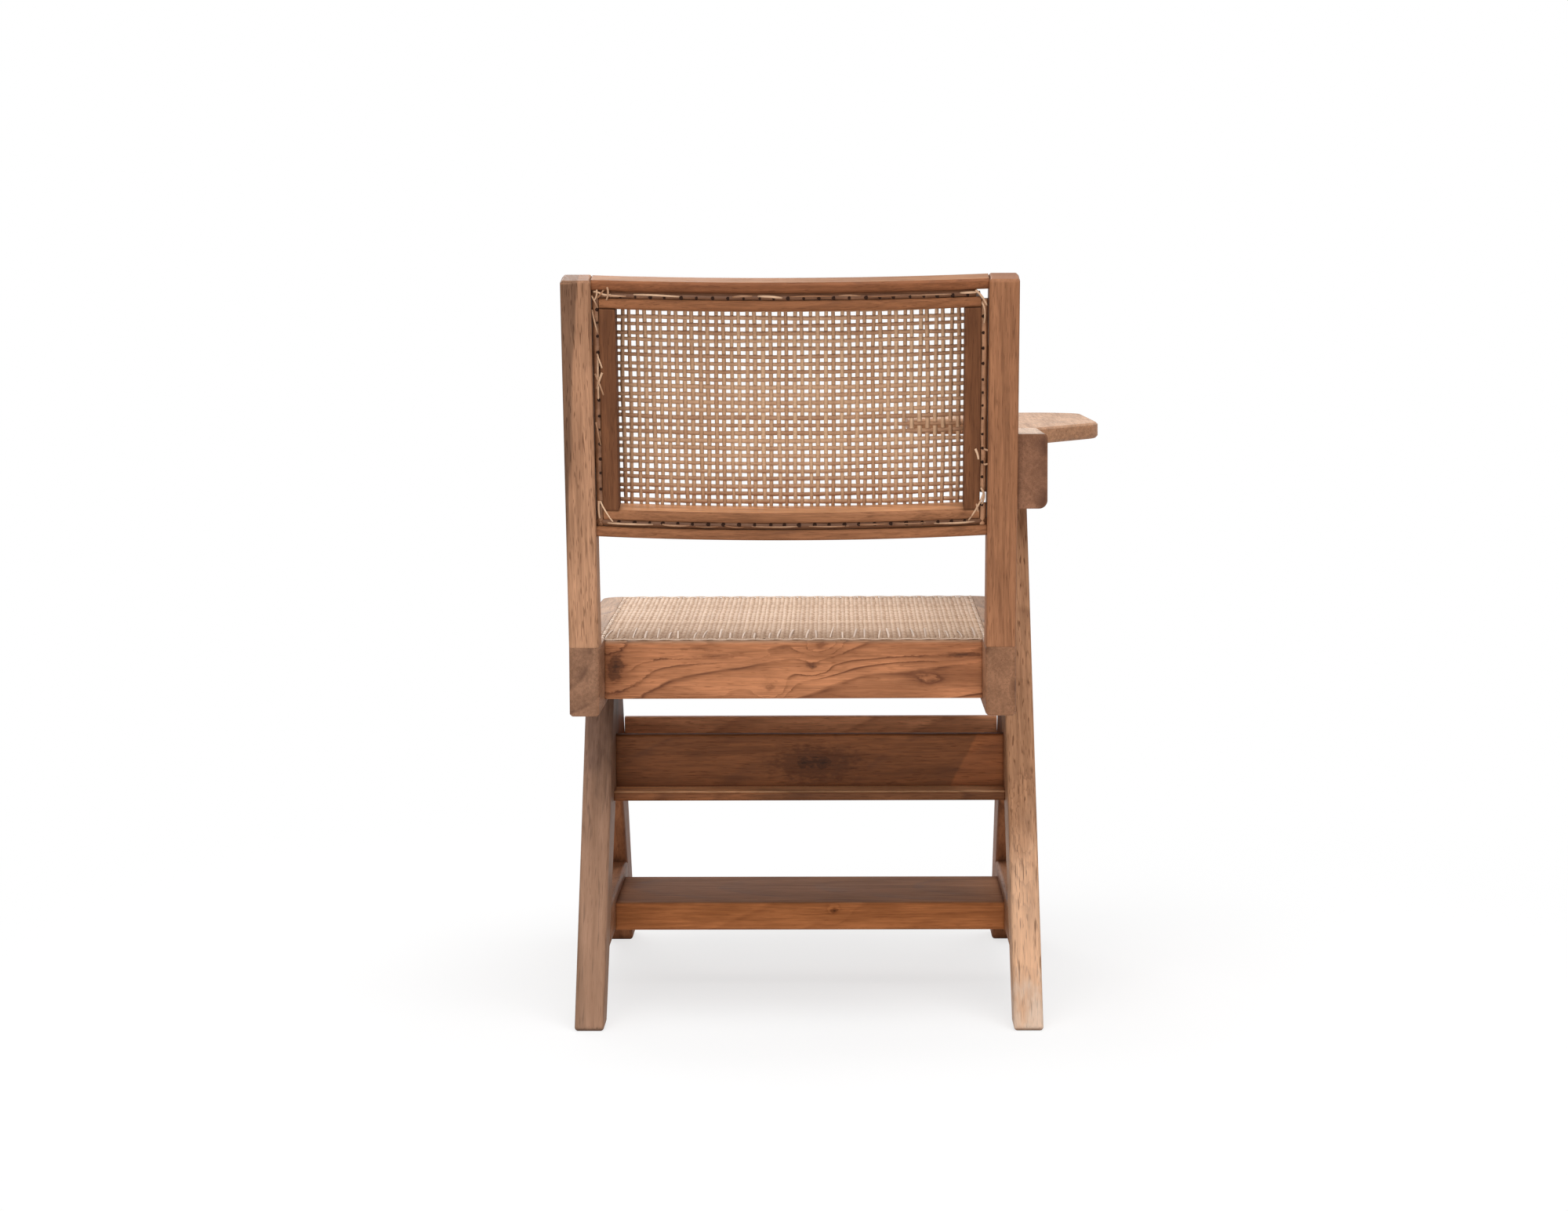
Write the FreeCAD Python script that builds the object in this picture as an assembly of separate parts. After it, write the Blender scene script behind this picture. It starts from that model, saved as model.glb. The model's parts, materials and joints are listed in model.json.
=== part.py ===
"""Teak writing chair: compass legs, caned seat, bowed caned back, one arm with a writing tablet, book tray.

Millimetres, +Z up. X runs across the chair, Y from front to back. The sitter faces -Y, the tablet is on -X.
While it is drawn, "forward" is the distance in front of the rear ends of the seat rails and x = 0 is the
middle of the seat. At the end everything moves so that the origin is below the middle of the whole chair.
"""
import FreeCAD
import Part
import math
import os

# Stock and fits
STOCK = 32.0  # thickness of legs, seat rails, posts and arm
EASE = 4.0  # radius of the rounded long edges
BEVEL = 2.5  # bevel of end edges and curved edges
TENON = 20.0  # length of the tenons on cross members
TENON_THICK = 10.0
SHOULDER = 9.0  # least shoulder of a tenon on a wide member
GLUE_ROOM = 1.0  # depth left free at the bottom of a mortise
KEY_THICK = 8.0  # loose tenons between two members
KEY_WIDTH = 28.0
KEY_BITE = 14.0  # depth of a loose tenon in each member
KEY_INSET = 21.0  # middle of a loose tenon from the edge of its member

# Seat
SEAT_WIDTH = 478.0  # over the outer faces of the seat rails
SEAT_LENGTH = 541.0
RAIL_TOP = 422.0  # height of the seat rails under the posts
RAIL_HEIGHT = 74.0
SEAT_RISE = 8.0  # how much higher the rails are at the front
RAIL_NOSE = 26.0  # plan radius of the outer front corners
CROSS_RAIL_THICK = 28.0
CROSS_RAIL_LIFT = 8.0  # cross rails end this far above the underside of the side rails
REAR_RAIL_FORWARD = 92.0
SEAT_EDGE = 8.0  # radius of the edges that the seat cane goes over
SEAT_CANE = 3.0
SEAT_NET = 12  # openings of the seat cane each way
SEAT_GAP = 13.0
SEAT_REBATE = 6.0  # width of the step in the side rails that takes the cane's edge
BINDER_WIDTH = 5.0
BINDER_THICK = 1.5

# Legs, stretchers and plank
REAR_FOOT_FORWARD = 22.0
LEG_SPREAD = 595.0  # from the back of a rear foot to the front of a front foot
FOOT_LENGTH = 52.0
LEG_LEAN = 0.64  # run of the outer edge of a leg for each unit of height
CROTCH_HEIGHT = 290.0
LONG_LEG_TIP = 64.0  # width of the long leg under the arm
LEG_TENON = 22.0
STRETCHER_BOTTOM = 71.0
STRETCHER_HEIGHT = 43.0
PLANK_REAR = 243.0
PLANK_WIDTH = 181.0
PLANK_THICK = 32.0
PLANK_TENON = 50.0  # width of each of the two tenons at an end

# Back
BACK_HEIGHT = 820.0  # floor to the highest edge of the posts
BACK_LEAN = 10.7  # degrees
POST_FOOT = 50.0  # depth of a post at the seat
POST_TIP = 40.0
POST_TENON = 25.0
BACK_RAIL_HEIGHT = 11.0  # of each of the four bowed rails
BACK_RAIL_DEPTH = 32.0
BACK_RAIL_INSET = 4.0  # ends of the bowed rails in front of the posts' rear faces
BACK_RAIL_TENON = 12.0  # depth of the tenons on the bowed rails and stiles
BACK_RAIL_SHOULDER = 2.0
BACK_BOW = 20.0
BACK_RAISE = 122.0  # seat rail to the lowest bowed rail, along the posts
CANE_SLOT = 8.0  # slot around the cane frame
STILE_WIDTH = 17.0
STILE_TENON = 6.0
STILE_SHOULDER = 4.0
BLOCK_WIDTH = 14.0  # blocks across the slot
BLOCK_BITE = 4.0
BLOCK_PLACE = 110.0  # of the blocks between the rails, from the middle
BLOCK_INSET = 50.0  # of the blocks beside the stiles, from the ends of the stiles
BACK_CANE = 2.2
NET_COLUMNS = 16  # openings of the back cane
NET_ROWS = 10
NET_GAP = 10.4
LACING_CLEAR = 0.6  # between the lacing and the outer frame
LACING_DEPTH = 6.0
LACING_INSET = 3.0

# Arm and tablet
ARM_TOP = 650.0
ARM_HEIGHT = 79.0
ARM_REAR = 20.0  # reach behind the rear ends of the seat rails
ARM_LENGTH = 580.0
ARM_NOSE_LENGTH = 90.0
ARM_NOSE_RISE = 34.0
ARM_EDGE = 9.0  # radius of the lower outer edge
TABLET_THICK = 18.0
TABLET_KEY_BITE = 9.0
TABLET_FORWARD = 150.0  # where the tablet starts in the arm
TABLET_LENGTH = 500.0
TABLET_IN = 105.0  # reach towards the sitter
TABLET_OUT = 79.0  # reach away from the sitter
TABLET_STEP = 280.0  # start of the part towards the sitter, from the tablet's rear end
TABLET_FLARE = 154.0  # length of the slanted outer shoulder
TABLET_ROUND = 60.0
TABLET_STEP_ROUND = 40.0
TABLET_FLARE_ROUND = 120.0

# Book tray
TRAY_TOP = 294.0
TRAY_WALL = 60.0  # height of the boards
TRAY_BOARD = 18.0
TRAY_BOTTOM = 11.0
TRAY_LEDGE = 42.0  # the bottom behind the rear board
TRAY_TENON_INSET = 3.0  # tenons of the boards stay this far inside the legs' edges
TRAY_REAR_TENON = 29.0  # height of the rear board's tenons
TRAY_FRONT_TENON = 14.0
PEG = 5.0  # square pegs that hold the bottom of the tray
PEG_BITE = 16.0

# Places that follow from the sizes above
HALF = SEAT_WIDTH / 2
CLEAR = HALF - STOCK
LEFT = (CLEAR, HALF)
RIGHT = (-HALF, -CLEAR)
OUTBOARD = (-HALF - STOCK, -HALF)
BETWEEN_LEGS = (-HALF, CLEAR)
RAIL_BOTTOM = RAIL_TOP - RAIL_HEIGHT
SEAT_REAR = REAR_RAIL_FORWARD + SEAT_EDGE
SEAT_FRONT = SEAT_LENGTH - SEAT_EDGE
CANE_REACH = CLEAR + SEAT_REBATE
LEG_AXIS = REAR_FOOT_FORWARD + LEG_SPREAD / 2
FRONT_FOOT = REAR_FOOT_FORWARD + LEG_SPREAD
CROTCH = (LEG_AXIS, CROTCH_HEIGHT)
STRETCHER_TOP = STRETCHER_BOTTOM + STRETCHER_HEIGHT
PLANK_FRONT = PLANK_REAR + PLANK_WIDTH
PLANK_HEIGHTS = (STRETCHER_BOTTOM, STRETCHER_BOTTOM + PLANK_THICK)
LEAN = math.radians(BACK_LEAN)
POST_LENGTH = (BACK_HEIGHT - RAIL_TOP - POST_TIP * math.sin(LEAN)) / math.cos(LEAN)
BOW_RADIUS = (CLEAR**2 + BACK_BOW**2) / (2 * BACK_BOW)
BOW_CENTRE = -BACK_RAIL_INSET - math.sqrt(BOW_RADIUS**2 - CLEAR**2)
FRAME_HALF = CLEAR - CANE_SLOT
OPENING_HALF = FRAME_HALF - STILE_WIDTH
BOTTOM_RAIL = (BACK_RAISE, BACK_RAISE + BACK_RAIL_HEIGHT)
FRAME_BOTTOM = (BOTTOM_RAIL[1] + CANE_SLOT, BOTTOM_RAIL[1] + CANE_SLOT + BACK_RAIL_HEIGHT)
TOP_RAIL = (POST_LENGTH - BACK_RAIL_HEIGHT, POST_LENGTH)
FRAME_TOP = (TOP_RAIL[0] - CANE_SLOT - BACK_RAIL_HEIGHT, TOP_RAIL[0] - CANE_SLOT)
ARM_BOTTOM = ARM_TOP - ARM_HEIGHT
ARM_FRONT = ARM_LENGTH - ARM_REAR
TABLET_BOTTOM = ARM_TOP - TABLET_THICK
TRAY_FLOOR = TRAY_TOP - TRAY_WALL
TOLERANCE = 0.01


def at(x, forward, z):
    """Point given by its distance in front of the rear ends of the seat rails."""
    return FreeCAD.Vector(x, -forward, z)


def board(outline, across):
    """Board with a side outline of (forward, height) corners, between two places across the chair."""
    corners = [at(across[0], forward, z) for forward, z in outline]
    face = Part.Face(Part.makePolygon(corners + corners[:1]))
    return face.extrude(FreeCAD.Vector(across[1] - across[0], 0, 0))


def block(across, forward, heights):
    """Rectangular block between pairs of limits."""
    corner = at(across[0], forward[1], heights[0])
    return Part.makeBox(across[1] - across[0], forward[1] - forward[0], heights[1] - heights[0], corner)


def strip(limits, width):
    """Limits of a strip of the given width in the middle of two limits."""
    middle = (limits[0] + limits[1]) / 2
    return (middle - width / 2, middle + width / 2)


def around(place, width):
    """Limits of the given width around a place."""
    return (place - width / 2, place + width / 2)


def outward(inner, side, start, end):
    """Limits across, from one to another distance outside an inner face on the left (1) or right (-1)."""
    return sorted((inner + side * start, inner + side * end))


def picked(shape, chosen):
    """Edges whose middle point is chosen."""
    return [edge for edge in shape.Edges if chosen(edge.valueAt(sum(edge.ParameterRange) / 2))]


def eased(shape, radius, chosen):
    """Round the chosen edges."""
    return shape.makeFillet(radius, picked(shape, chosen))


def bevelled(shape, size, chosen):
    """Bevel the chosen edges."""
    return shape.makeChamfer(size, picked(shape, chosen))


def without(shape, tools):
    """Cut several tools from a shape."""
    for tool in tools:
        shape = shape.cut(tool)
    return shape


def joined(shape, tenons):
    """One solid of a member and its tenons."""
    for tenon in tenons:
        shape = shape.fuse(tenon)
    return shape.removeSplitter()


def near(first, second):
    """Whether two places are the same."""
    return abs(first - second) < TOLERANCE


def on_line(point, first, second):
    """Whether a point lies on the side view's line through two (forward, height) points."""
    run = second[0] - first[0]
    rise = second[1] - first[1]
    off = (-point.y - first[0]) * rise - (point.z - first[1]) * run
    return abs(off) < TOLERANCE * math.hypot(run, rise)


def rail_top(forward):
    """Height of the seat rails: level under the post, then rising to the front."""
    return RAIL_TOP + SEAT_RISE * max(0.0, forward - POST_FOOT) / (SEAT_LENGTH - POST_FOOT)


def leg_back(z):
    """Forward place of the outer edge of a rear leg."""
    return REAR_FOOT_FORWARD + LEG_LEAN * z


def leg_inner(z):
    """Forward place of the inner edge of a rear leg, from the foot to the crotch."""
    start = REAR_FOOT_FORWARD + FOOT_LENGTH
    return start + (LEG_AXIS - start) * z / CROTCH_HEIGHT


def mirrored(forward):
    """The same place on the front leg."""
    return 2 * LEG_AXIS - forward


# Places of the tray's boards: their tenons just fit inside the legs

REAR_TENON_HEIGHTS = (TRAY_TOP - SHOULDER - TRAY_REAR_TENON, TRAY_TOP - SHOULDER)
FRONT_TENON_HEIGHTS = (TRAY_FLOOR + TRAY_TENON_INSET, TRAY_FLOOR + TRAY_TENON_INSET + TRAY_FRONT_TENON)
REAR_BOARD_FRONT = leg_inner(REAR_TENON_HEIGHTS[0]) - TRAY_TENON_INSET
REAR_BOARD = (REAR_BOARD_FRONT - TRAY_BOARD, REAR_BOARD_FRONT)
TRAY_REAR = REAR_BOARD[0] - TRAY_LEDGE
TRAY_FRONT = mirrored(leg_back(FRONT_TENON_HEIGHTS[1])) - TRAY_TENON_INSET
FRONT_BOARD = (TRAY_FRONT - TRAY_BOARD, TRAY_FRONT)


# Seat

def seat_layer(start, end, low, high, across):
    """Layer that follows the slope of the seat, between two heights above the rails' top."""
    outline = [
        (start, rail_top(start) + low),
        (end, rail_top(end) + low),
        (end, rail_top(end) + high),
        (start, rail_top(start) + high),
    ]
    return board(outline, across)


def seat_cane():
    """Sheet with a plain grid of openings, let into the side rails and laid over the cross rails."""
    sheet = seat_layer(SEAT_REAR, SEAT_FRONT, -SEAT_CANE, 0, (-CANE_REACH, CANE_REACH))
    start = REAR_RAIL_FORWARD + CROSS_RAIL_THICK
    column = 2 * CLEAR / SEAT_NET
    row = (SEAT_LENGTH - CROSS_RAIL_THICK - start) / SEAT_NET
    through = (RAIL_BOTTOM, RAIL_TOP + RAIL_HEIGHT)
    gaps = []
    for i in range(SEAT_NET):
        width = around(column * (i + 0.5) - CLEAR, SEAT_GAP)
        for j in range(SEAT_NET):
            gaps.append(block(width, around(start + row * (j + 0.5), SEAT_GAP), through))
    return sheet.cut(Part.makeCompound(gaps))


def seat_cane_binder():
    """Four strips that cover the edges of the seat cane."""
    inner = CANE_REACH - BINDER_WIDTH
    return Part.makeCompound([
        seat_layer(SEAT_REAR, SEAT_FRONT, 0, BINDER_THICK, (inner, CANE_REACH)),
        seat_layer(SEAT_REAR, SEAT_FRONT, 0, BINDER_THICK, (-CANE_REACH, -inner)),
        seat_layer(SEAT_REAR, SEAT_REAR + BINDER_WIDTH, 0, BINDER_THICK, (-inner, inner)),
        seat_layer(SEAT_FRONT - BINDER_WIDTH, SEAT_FRONT, 0, BINDER_THICK, (-inner, inner)),
    ])


def cross_rail_tenon(start, side, room):
    """Tenon of a cross rail in the left (1) or right (-1) side rail."""
    forward = strip((start, start + CROSS_RAIL_THICK), TENON_THICK)
    heights = (RAIL_BOTTOM + CROSS_RAIL_LIFT + SHOULDER, RAIL_TOP - SEAT_CANE - SHOULDER)
    return block(outward(side * CLEAR, side, -EASE, TENON + room), forward, heights)


def cross_rail(start, cane_edge):
    """Rear or front rail of the seat, well rounded along the edge that the cane goes over."""
    end = start + CROSS_RAIL_THICK
    bottom = RAIL_BOTTOM + CROSS_RAIL_LIFT
    outline = [
        (start, bottom),
        (end, bottom),
        (end, rail_top(end) - SEAT_CANE),
        (start, rail_top(start) - SEAT_CANE),
    ]
    rail = board(outline, (-CLEAR, CLEAR))
    rail = eased(rail, EASE, lambda point: near(point.x, 0) and near(point.z, bottom))
    cane_height = rail_top(cane_edge) - SEAT_CANE
    rail = eased(
        rail,
        SEAT_EDGE,
        lambda point: near(point.x, 0) and near(point.y, -cane_edge) and near(point.z, cane_height),
    )
    return joined(rail, [cross_rail_tenon(start, side, 0) for side in (1, -1)])


def post_tenon(across, room):
    """Tenon of a post in the rear end of a seat rail."""
    heights = (RAIL_TOP - POST_TENON - room, RAIL_TOP + EASE)
    return block(strip(across, TENON_THICK), (SHOULDER, POST_FOOT - SHOULDER), heights)


def seat_rail(across, side):
    """Side rail: square under the post, bevelled from there to the round nose at the front."""
    outer = side * HALF
    heel = board([(0, RAIL_BOTTOM), (POST_FOOT, RAIL_BOTTOM), (POST_FOOT, RAIL_TOP), (0, RAIL_TOP)], across)
    middle = (RAIL_BOTTOM + RAIL_TOP) / 2
    heel = eased(heel, EASE, lambda point: near(point.y, 0) and near(point.z, middle))
    heel = bevelled(heel, BEVEL, lambda point: near(point.z, RAIL_BOTTOM) and not near(point.y, -POST_FOOT))
    outline = [
        (POST_FOOT, RAIL_BOTTOM),
        (SEAT_LENGTH, RAIL_BOTTOM),
        (SEAT_LENGTH, rail_top(SEAT_LENGTH)),
        (POST_FOOT, RAIL_TOP),
    ]
    length = board(outline, across)
    length = eased(length, RAIL_NOSE, lambda point: near(point.x, outer) and near(point.y, -SEAT_LENGTH))

    def rim(point):
        below = near(point.z, RAIL_BOTTOM)
        above = near(point.z, rail_top(-point.y)) and abs(point.x) > CLEAR + TOLERANCE
        return (below or above) and point.y < -POST_FOOT - TOLERANCE

    rail = joined(heel, [bevelled(length, BEVEL, rim)])
    starts = (REAR_RAIL_FORWARD, SEAT_LENGTH - CROSS_RAIL_THICK)
    mortises = [cross_rail_tenon(start, side, GLUE_ROOM) for start in starts]
    return without(rail, [seat_cane(), post_tenon(across, GLUE_ROOM)] + mortises)


def left_seat_rail():
    """Left side rail, which stands on the left V."""
    return without(seat_rail(LEFT, 1), [left_leg_tenon(front, GLUE_ROOM) for front in (False, True)])


def right_seat_rail():
    """Right side rail, fixed to the inner face of the right V."""
    return without(seat_rail(RIGHT, -1), leg_to_rail_keys(GLUE_ROOM))


# Legs, stretchers and plank

def leg_joint():
    """Top of the right front leg, where its outer edge meets the long leg."""
    height = (FRONT_FOOT - LEG_AXIS + LEG_LEAN * CROTCH_HEIGHT) / (2 * LEG_LEAN)
    return (FRONT_FOOT - LEG_LEAN * height, height)


def left_leg_tenon(front, room):
    """Tenon of a left leg in the underside of the left seat rail."""
    limits = (leg_back(RAIL_BOTTOM) + SHOULDER, LEG_AXIS - SHOULDER)
    if front:
        limits = (mirrored(limits[1]), mirrored(limits[0]))
    return block(strip(LEFT, TENON_THICK), limits, (RAIL_BOTTOM - EASE, RAIL_BOTTOM + LEG_TENON + room))


def left_leg_key(room):
    """Loose tenon across the mitre of the left V."""
    heights = (CROTCH_HEIGHT + SHOULDER, RAIL_BOTTOM - SHOULDER)
    return block(strip(LEFT, KEY_THICK), around(LEG_AXIS, 2 * (KEY_BITE + room)), heights)


def right_leg_key(room):
    """Loose tenon square to the butt joint of the right V."""
    joint = leg_joint()
    run = joint[0] - LEG_AXIS
    rise = joint[1] - CROTCH_HEIGHT
    key = block(around(0, KEY_THICK), around(0, 2 * (KEY_BITE + room)), around(0, KEY_WIDTH))
    key.rotate(FreeCAD.Vector(0, 0, 0), FreeCAD.Vector(1, 0, 0), math.degrees(math.atan2(run, rise)))
    key.translate(at(sum(OUTBOARD) / 2, LEG_AXIS + run / 2, CROTCH_HEIGHT + rise / 2))
    return key


def leg_to_rail_keys(room):
    """Loose tenons that hold the right seat rail against the long leg."""
    reach = around(-HALF, 2 * (KEY_BITE + room))
    keys = []
    for row in (RAIL_BOTTOM + KEY_INSET, RAIL_TOP - KEY_INSET):
        start = leg_back(row) + KEY_INSET
        keys.append(block(reach, (start, start + KEY_WIDTH), around(row, KEY_THICK)))
    return keys


def stretcher_tenon(across, room):
    """Bar through a foot stretcher whose ends are its tenons."""
    heights = (STRETCHER_BOTTOM + SHOULDER, STRETCHER_TOP - SHOULDER)
    start = leg_inner(heights[0]) - TENON - room
    return block(strip(across, TENON_THICK), (start, mirrored(start)), heights)


def leg_sockets(across):
    """What is let into a leg from the stretcher and the tray."""
    rear = tray_tenons(REAR_BOARD, REAR_TENON_HEIGHTS, GLUE_ROOM)
    front = tray_tenons(FRONT_BOARD, FRONT_TENON_HEIGHTS, GLUE_ROOM)
    return [stretcher_tenon(across, GLUE_ROOM)] + rear + front + tray_pegs(GLUE_ROOM)


def left_leg(front):
    """Leg of the left V: tapered, rounded at the foot, mitred to the other one and tenoned into the seat rail."""
    outline = [
        (REAR_FOOT_FORWARD, 0),
        (REAR_FOOT_FORWARD + FOOT_LENGTH, 0),
        CROTCH,
        (LEG_AXIS, RAIL_BOTTOM),
        (leg_back(RAIL_BOTTOM), RAIL_BOTTOM),
    ]
    if front:
        outline = [(mirrored(forward), z) for forward, z in outline]
    leg = eased(
        board(outline, LEFT),
        EASE,
        lambda point: point.z < RAIL_BOTTOM - TOLERANCE and not near(point.y, -LEG_AXIS),
    )
    leg = joined(leg, [left_leg_tenon(front, 0)])
    return without(leg, leg_sockets(LEFT) + [left_leg_key(GLUE_ROOM)])


def arm_tenon(room):
    """Tenon of the long leg in the underside of the arm."""
    start = leg_back(ARM_BOTTOM)
    limits = (start + SHOULDER, start + LONG_LEG_TIP - SHOULDER)
    return block(strip(OUTBOARD, TENON_THICK), limits, (ARM_BOTTOM - EASE, ARM_BOTTOM + LEG_TENON + room))


def right_leg(outline, tenons):
    """Leg of the right V, rounded except where the two legs meet."""
    joint = leg_joint()
    top = max(z for forward, z in outline)
    leg = eased(
        board(outline, OUTBOARD),
        EASE,
        lambda point: point.z < top - TOLERANCE and not on_line(point, CROTCH, joint),
    )
    leg = joined(leg, tenons)
    return without(leg, leg_sockets(OUTBOARD) + [right_leg_key(GLUE_ROOM)] + leg_to_rail_keys(GLUE_ROOM))


def right_rear_leg():
    """Long leg: tapers from the joint down to the foot and up to the arm."""
    outline = [
        (REAR_FOOT_FORWARD, 0),
        (REAR_FOOT_FORWARD + FOOT_LENGTH, 0),
        CROTCH,
        leg_joint(),
        (leg_back(ARM_BOTTOM) + LONG_LEG_TIP, ARM_BOTTOM),
        (leg_back(ARM_BOTTOM), ARM_BOTTOM),
    ]
    return right_leg(outline, [arm_tenon(0)])


def right_front_leg():
    """Short leg of the right V, butted against the long one."""
    return right_leg([(FRONT_FOOT - FOOT_LENGTH, 0), (FRONT_FOOT, 0), leg_joint(), CROTCH], [])


def plank_tenons(inner, side, room):
    """Two tenons at one end of the plank."""
    reach = outward(inner, side, -EASE, TENON + room)
    heights = (PLANK_HEIGHTS[0] + SHOULDER, PLANK_HEIGHTS[1] - SHOULDER)
    rear = (PLANK_REAR + SHOULDER, PLANK_REAR + SHOULDER + PLANK_TENON)
    front = (PLANK_FRONT - SHOULDER - PLANK_TENON, PLANK_FRONT - SHOULDER)
    return [block(reach, rear, heights), block(reach, front, heights)]


def foot_stretcher(across, inner, side):
    """Bar between the legs of a V, with the mortises of the plank."""
    outline = [
        (leg_inner(STRETCHER_BOTTOM), STRETCHER_BOTTOM),
        (mirrored(leg_inner(STRETCHER_BOTTOM)), STRETCHER_BOTTOM),
        (mirrored(leg_inner(STRETCHER_TOP)), STRETCHER_TOP),
        (leg_inner(STRETCHER_TOP), STRETCHER_TOP),
    ]
    bar = eased(board(outline, across), EASE, lambda point: near(point.y, -LEG_AXIS))
    bar = joined(bar, [stretcher_tenon(across, 0)])
    return without(bar, plank_tenons(inner, side, GLUE_ROOM))


def foot_plank():
    """Wide board between the foot stretchers, with rounded long edges."""
    plank = block(BETWEEN_LEGS, (PLANK_REAR, PLANK_FRONT), PLANK_HEIGHTS)
    plank = eased(plank, EASE, lambda point: near(point.x, sum(BETWEEN_LEGS) / 2))
    return joined(plank, plank_tenons(CLEAR, 1, 0) + plank_tenons(-HALF, -1, 0))


# Back

def lean(shape, angle=-BACK_LEAN):
    """Turn what was drawn upright above the rear ends of the seat rails into the leaning back."""
    turned = shape.copy()
    turned.rotate(FreeCAD.Vector(0, 0, RAIL_TOP), FreeCAD.Vector(1, 0, 0), angle)
    return turned


def bow(x, depth):
    """Place behind the posts' rear plane of a bowed face, a depth in front of the bowed rear face."""
    return BOW_CENTRE + math.sqrt((BOW_RADIUS - depth)**2 - x**2)


def bowed(across, rows, depths):
    """Bowed board between two places across, two rows up the posts and two depths."""
    z = RAIL_TOP + rows[0]
    places = (across[0], sum(across) / 2, across[1])
    rear, front = [
        Part.Arc(*[FreeCAD.Vector(x, bow(x, depth), z) for x in places]).toShape() for depth in depths
    ]
    ends = [Part.makeLine(rear.Vertexes[i].Point, front.Vertexes[i].Point) for i in (0, 1)]
    face = Part.Face(Part.Wire(Part.__sortEdges__([rear, front] + ends)))
    return face.extrude(FreeCAD.Vector(0, 0, rows[1] - rows[0]))


def raised(rows):
    """Heights of two rows up the posts while the back is drawn upright."""
    return (RAIL_TOP + rows[0], RAIL_TOP + rows[1])


def rail_tenon(rows, side, room):
    """Tenon of a bowed rail in a post."""
    forward = around(BACK_RAIL_INSET + BACK_RAIL_DEPTH / 2, BACK_RAIL_TENON)
    heights = raised((rows[0] + BACK_RAIL_SHOULDER, rows[1] - BACK_RAIL_SHOULDER))
    return block(outward(side * CLEAR, side, -EASE, TENON + room), forward, heights)


def outer_rail(rows):
    """Top or bottom rail of the back, tenoned into both posts."""
    rail = bowed((-CLEAR, CLEAR), rows, (0, BACK_RAIL_DEPTH))
    rail = bevelled(rail, BEVEL, lambda point: near(point.x, 0))
    rail = joined(rail, [rail_tenon(rows, side, 0) for side in (1, -1)])
    return lean(without(rail, slot_blocks(GLUE_ROOM)))


def stile_tenon(side, rows):
    """Tenon of a stile of the cane frame in one of the frame's rails."""
    across = sorted((side * (OPENING_HALF + STILE_SHOULDER), side * (FRAME_HALF - STILE_SHOULDER)))
    place = -bow(sum(across) / 2, BACK_RAIL_DEPTH / 2)
    return block(across, around(place, BACK_RAIL_TENON), raised(rows))


def stile_tenons(side, room):
    """Lower and upper tenon of a stile."""
    lower = (FRAME_BOTTOM[1] - STILE_TENON - room, FRAME_BOTTOM[1] + EASE)
    upper = (FRAME_TOP[0] - EASE, FRAME_TOP[0] + STILE_TENON + room)
    return [stile_tenon(side, lower), stile_tenon(side, upper)]


def frame_rail(rows):
    """Top or bottom rail of the cane frame."""
    rail = bowed((-FRAME_HALF, FRAME_HALF), rows, (0, BACK_RAIL_DEPTH))
    rail = bevelled(rail, BEVEL, lambda point: near(point.x, 0) and near(point.y, bow(0, 0)))
    sockets = stile_tenons(1, GLUE_ROOM) + stile_tenons(-1, GLUE_ROOM)
    return lean(without(rail, sockets + slot_blocks(GLUE_ROOM)))


def frame_stile(side):
    """Side of the cane frame, tenoned into its two rails."""
    across = sorted((side * OPENING_HALF, side * FRAME_HALF))
    stile = bowed(across, (FRAME_BOTTOM[1], FRAME_TOP[0]), (0, BACK_RAIL_DEPTH))
    stile = joined(stile, stile_tenons(side, 0))
    return lean(without(stile, slot_blocks(GLUE_ROOM)))


def slot_blocks(room):
    """Blocks across the open slot, which carry the cane frame in the outer frame; drawn upright."""
    bite = BLOCK_BITE + room
    depth = BACK_RAIL_DEPTH / 2
    blocks = []
    for side in (1, -1):
        x = side * BLOCK_PLACE
        for low, high in ((BOTTOM_RAIL[1], FRAME_BOTTOM[0]), (FRAME_TOP[1], TOP_RAIL[0])):
            heights = raised((low - bite, high + bite))
            blocks.append(block(around(x, BLOCK_WIDTH), around(-bow(x, depth), KEY_THICK), heights))
        across = outward(side * FRAME_HALF, side, -bite, CANE_SLOT + bite)
        for row in (FRAME_BOTTOM[1] + BLOCK_INSET, FRAME_TOP[0] - BLOCK_INSET):
            forward = around(-bow(FRAME_HALF, depth), KEY_THICK)
            blocks.append(block(across, forward, around(RAIL_TOP + row, BLOCK_WIDTH)))
    return blocks


def back_cane():
    """Sheet with a plain grid of openings over the front of the cane frame."""
    depths = (BACK_RAIL_DEPTH, BACK_RAIL_DEPTH + BACK_CANE)
    sheet = bowed((-FRAME_HALF, FRAME_HALF), (FRAME_BOTTOM[0], FRAME_TOP[1]), depths)
    column = 2 * OPENING_HALF / NET_COLUMNS
    row = (FRAME_TOP[0] - FRAME_BOTTOM[1]) / NET_ROWS
    through = around(-bow(0, BACK_RAIL_DEPTH), 2 * (BACK_BOW + BACK_RAIL_DEPTH))
    gaps = []
    for i in range(NET_COLUMNS):
        width = around(column * (i + 0.5) - OPENING_HALF, NET_GAP)
        for j in range(NET_ROWS):
            height = around(RAIL_TOP + FRAME_BOTTOM[1] + row * (j + 0.5), NET_GAP)
            gaps.append(block(width, through, height))
    return lean(sheet.cut(Part.makeCompound(gaps)))


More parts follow.
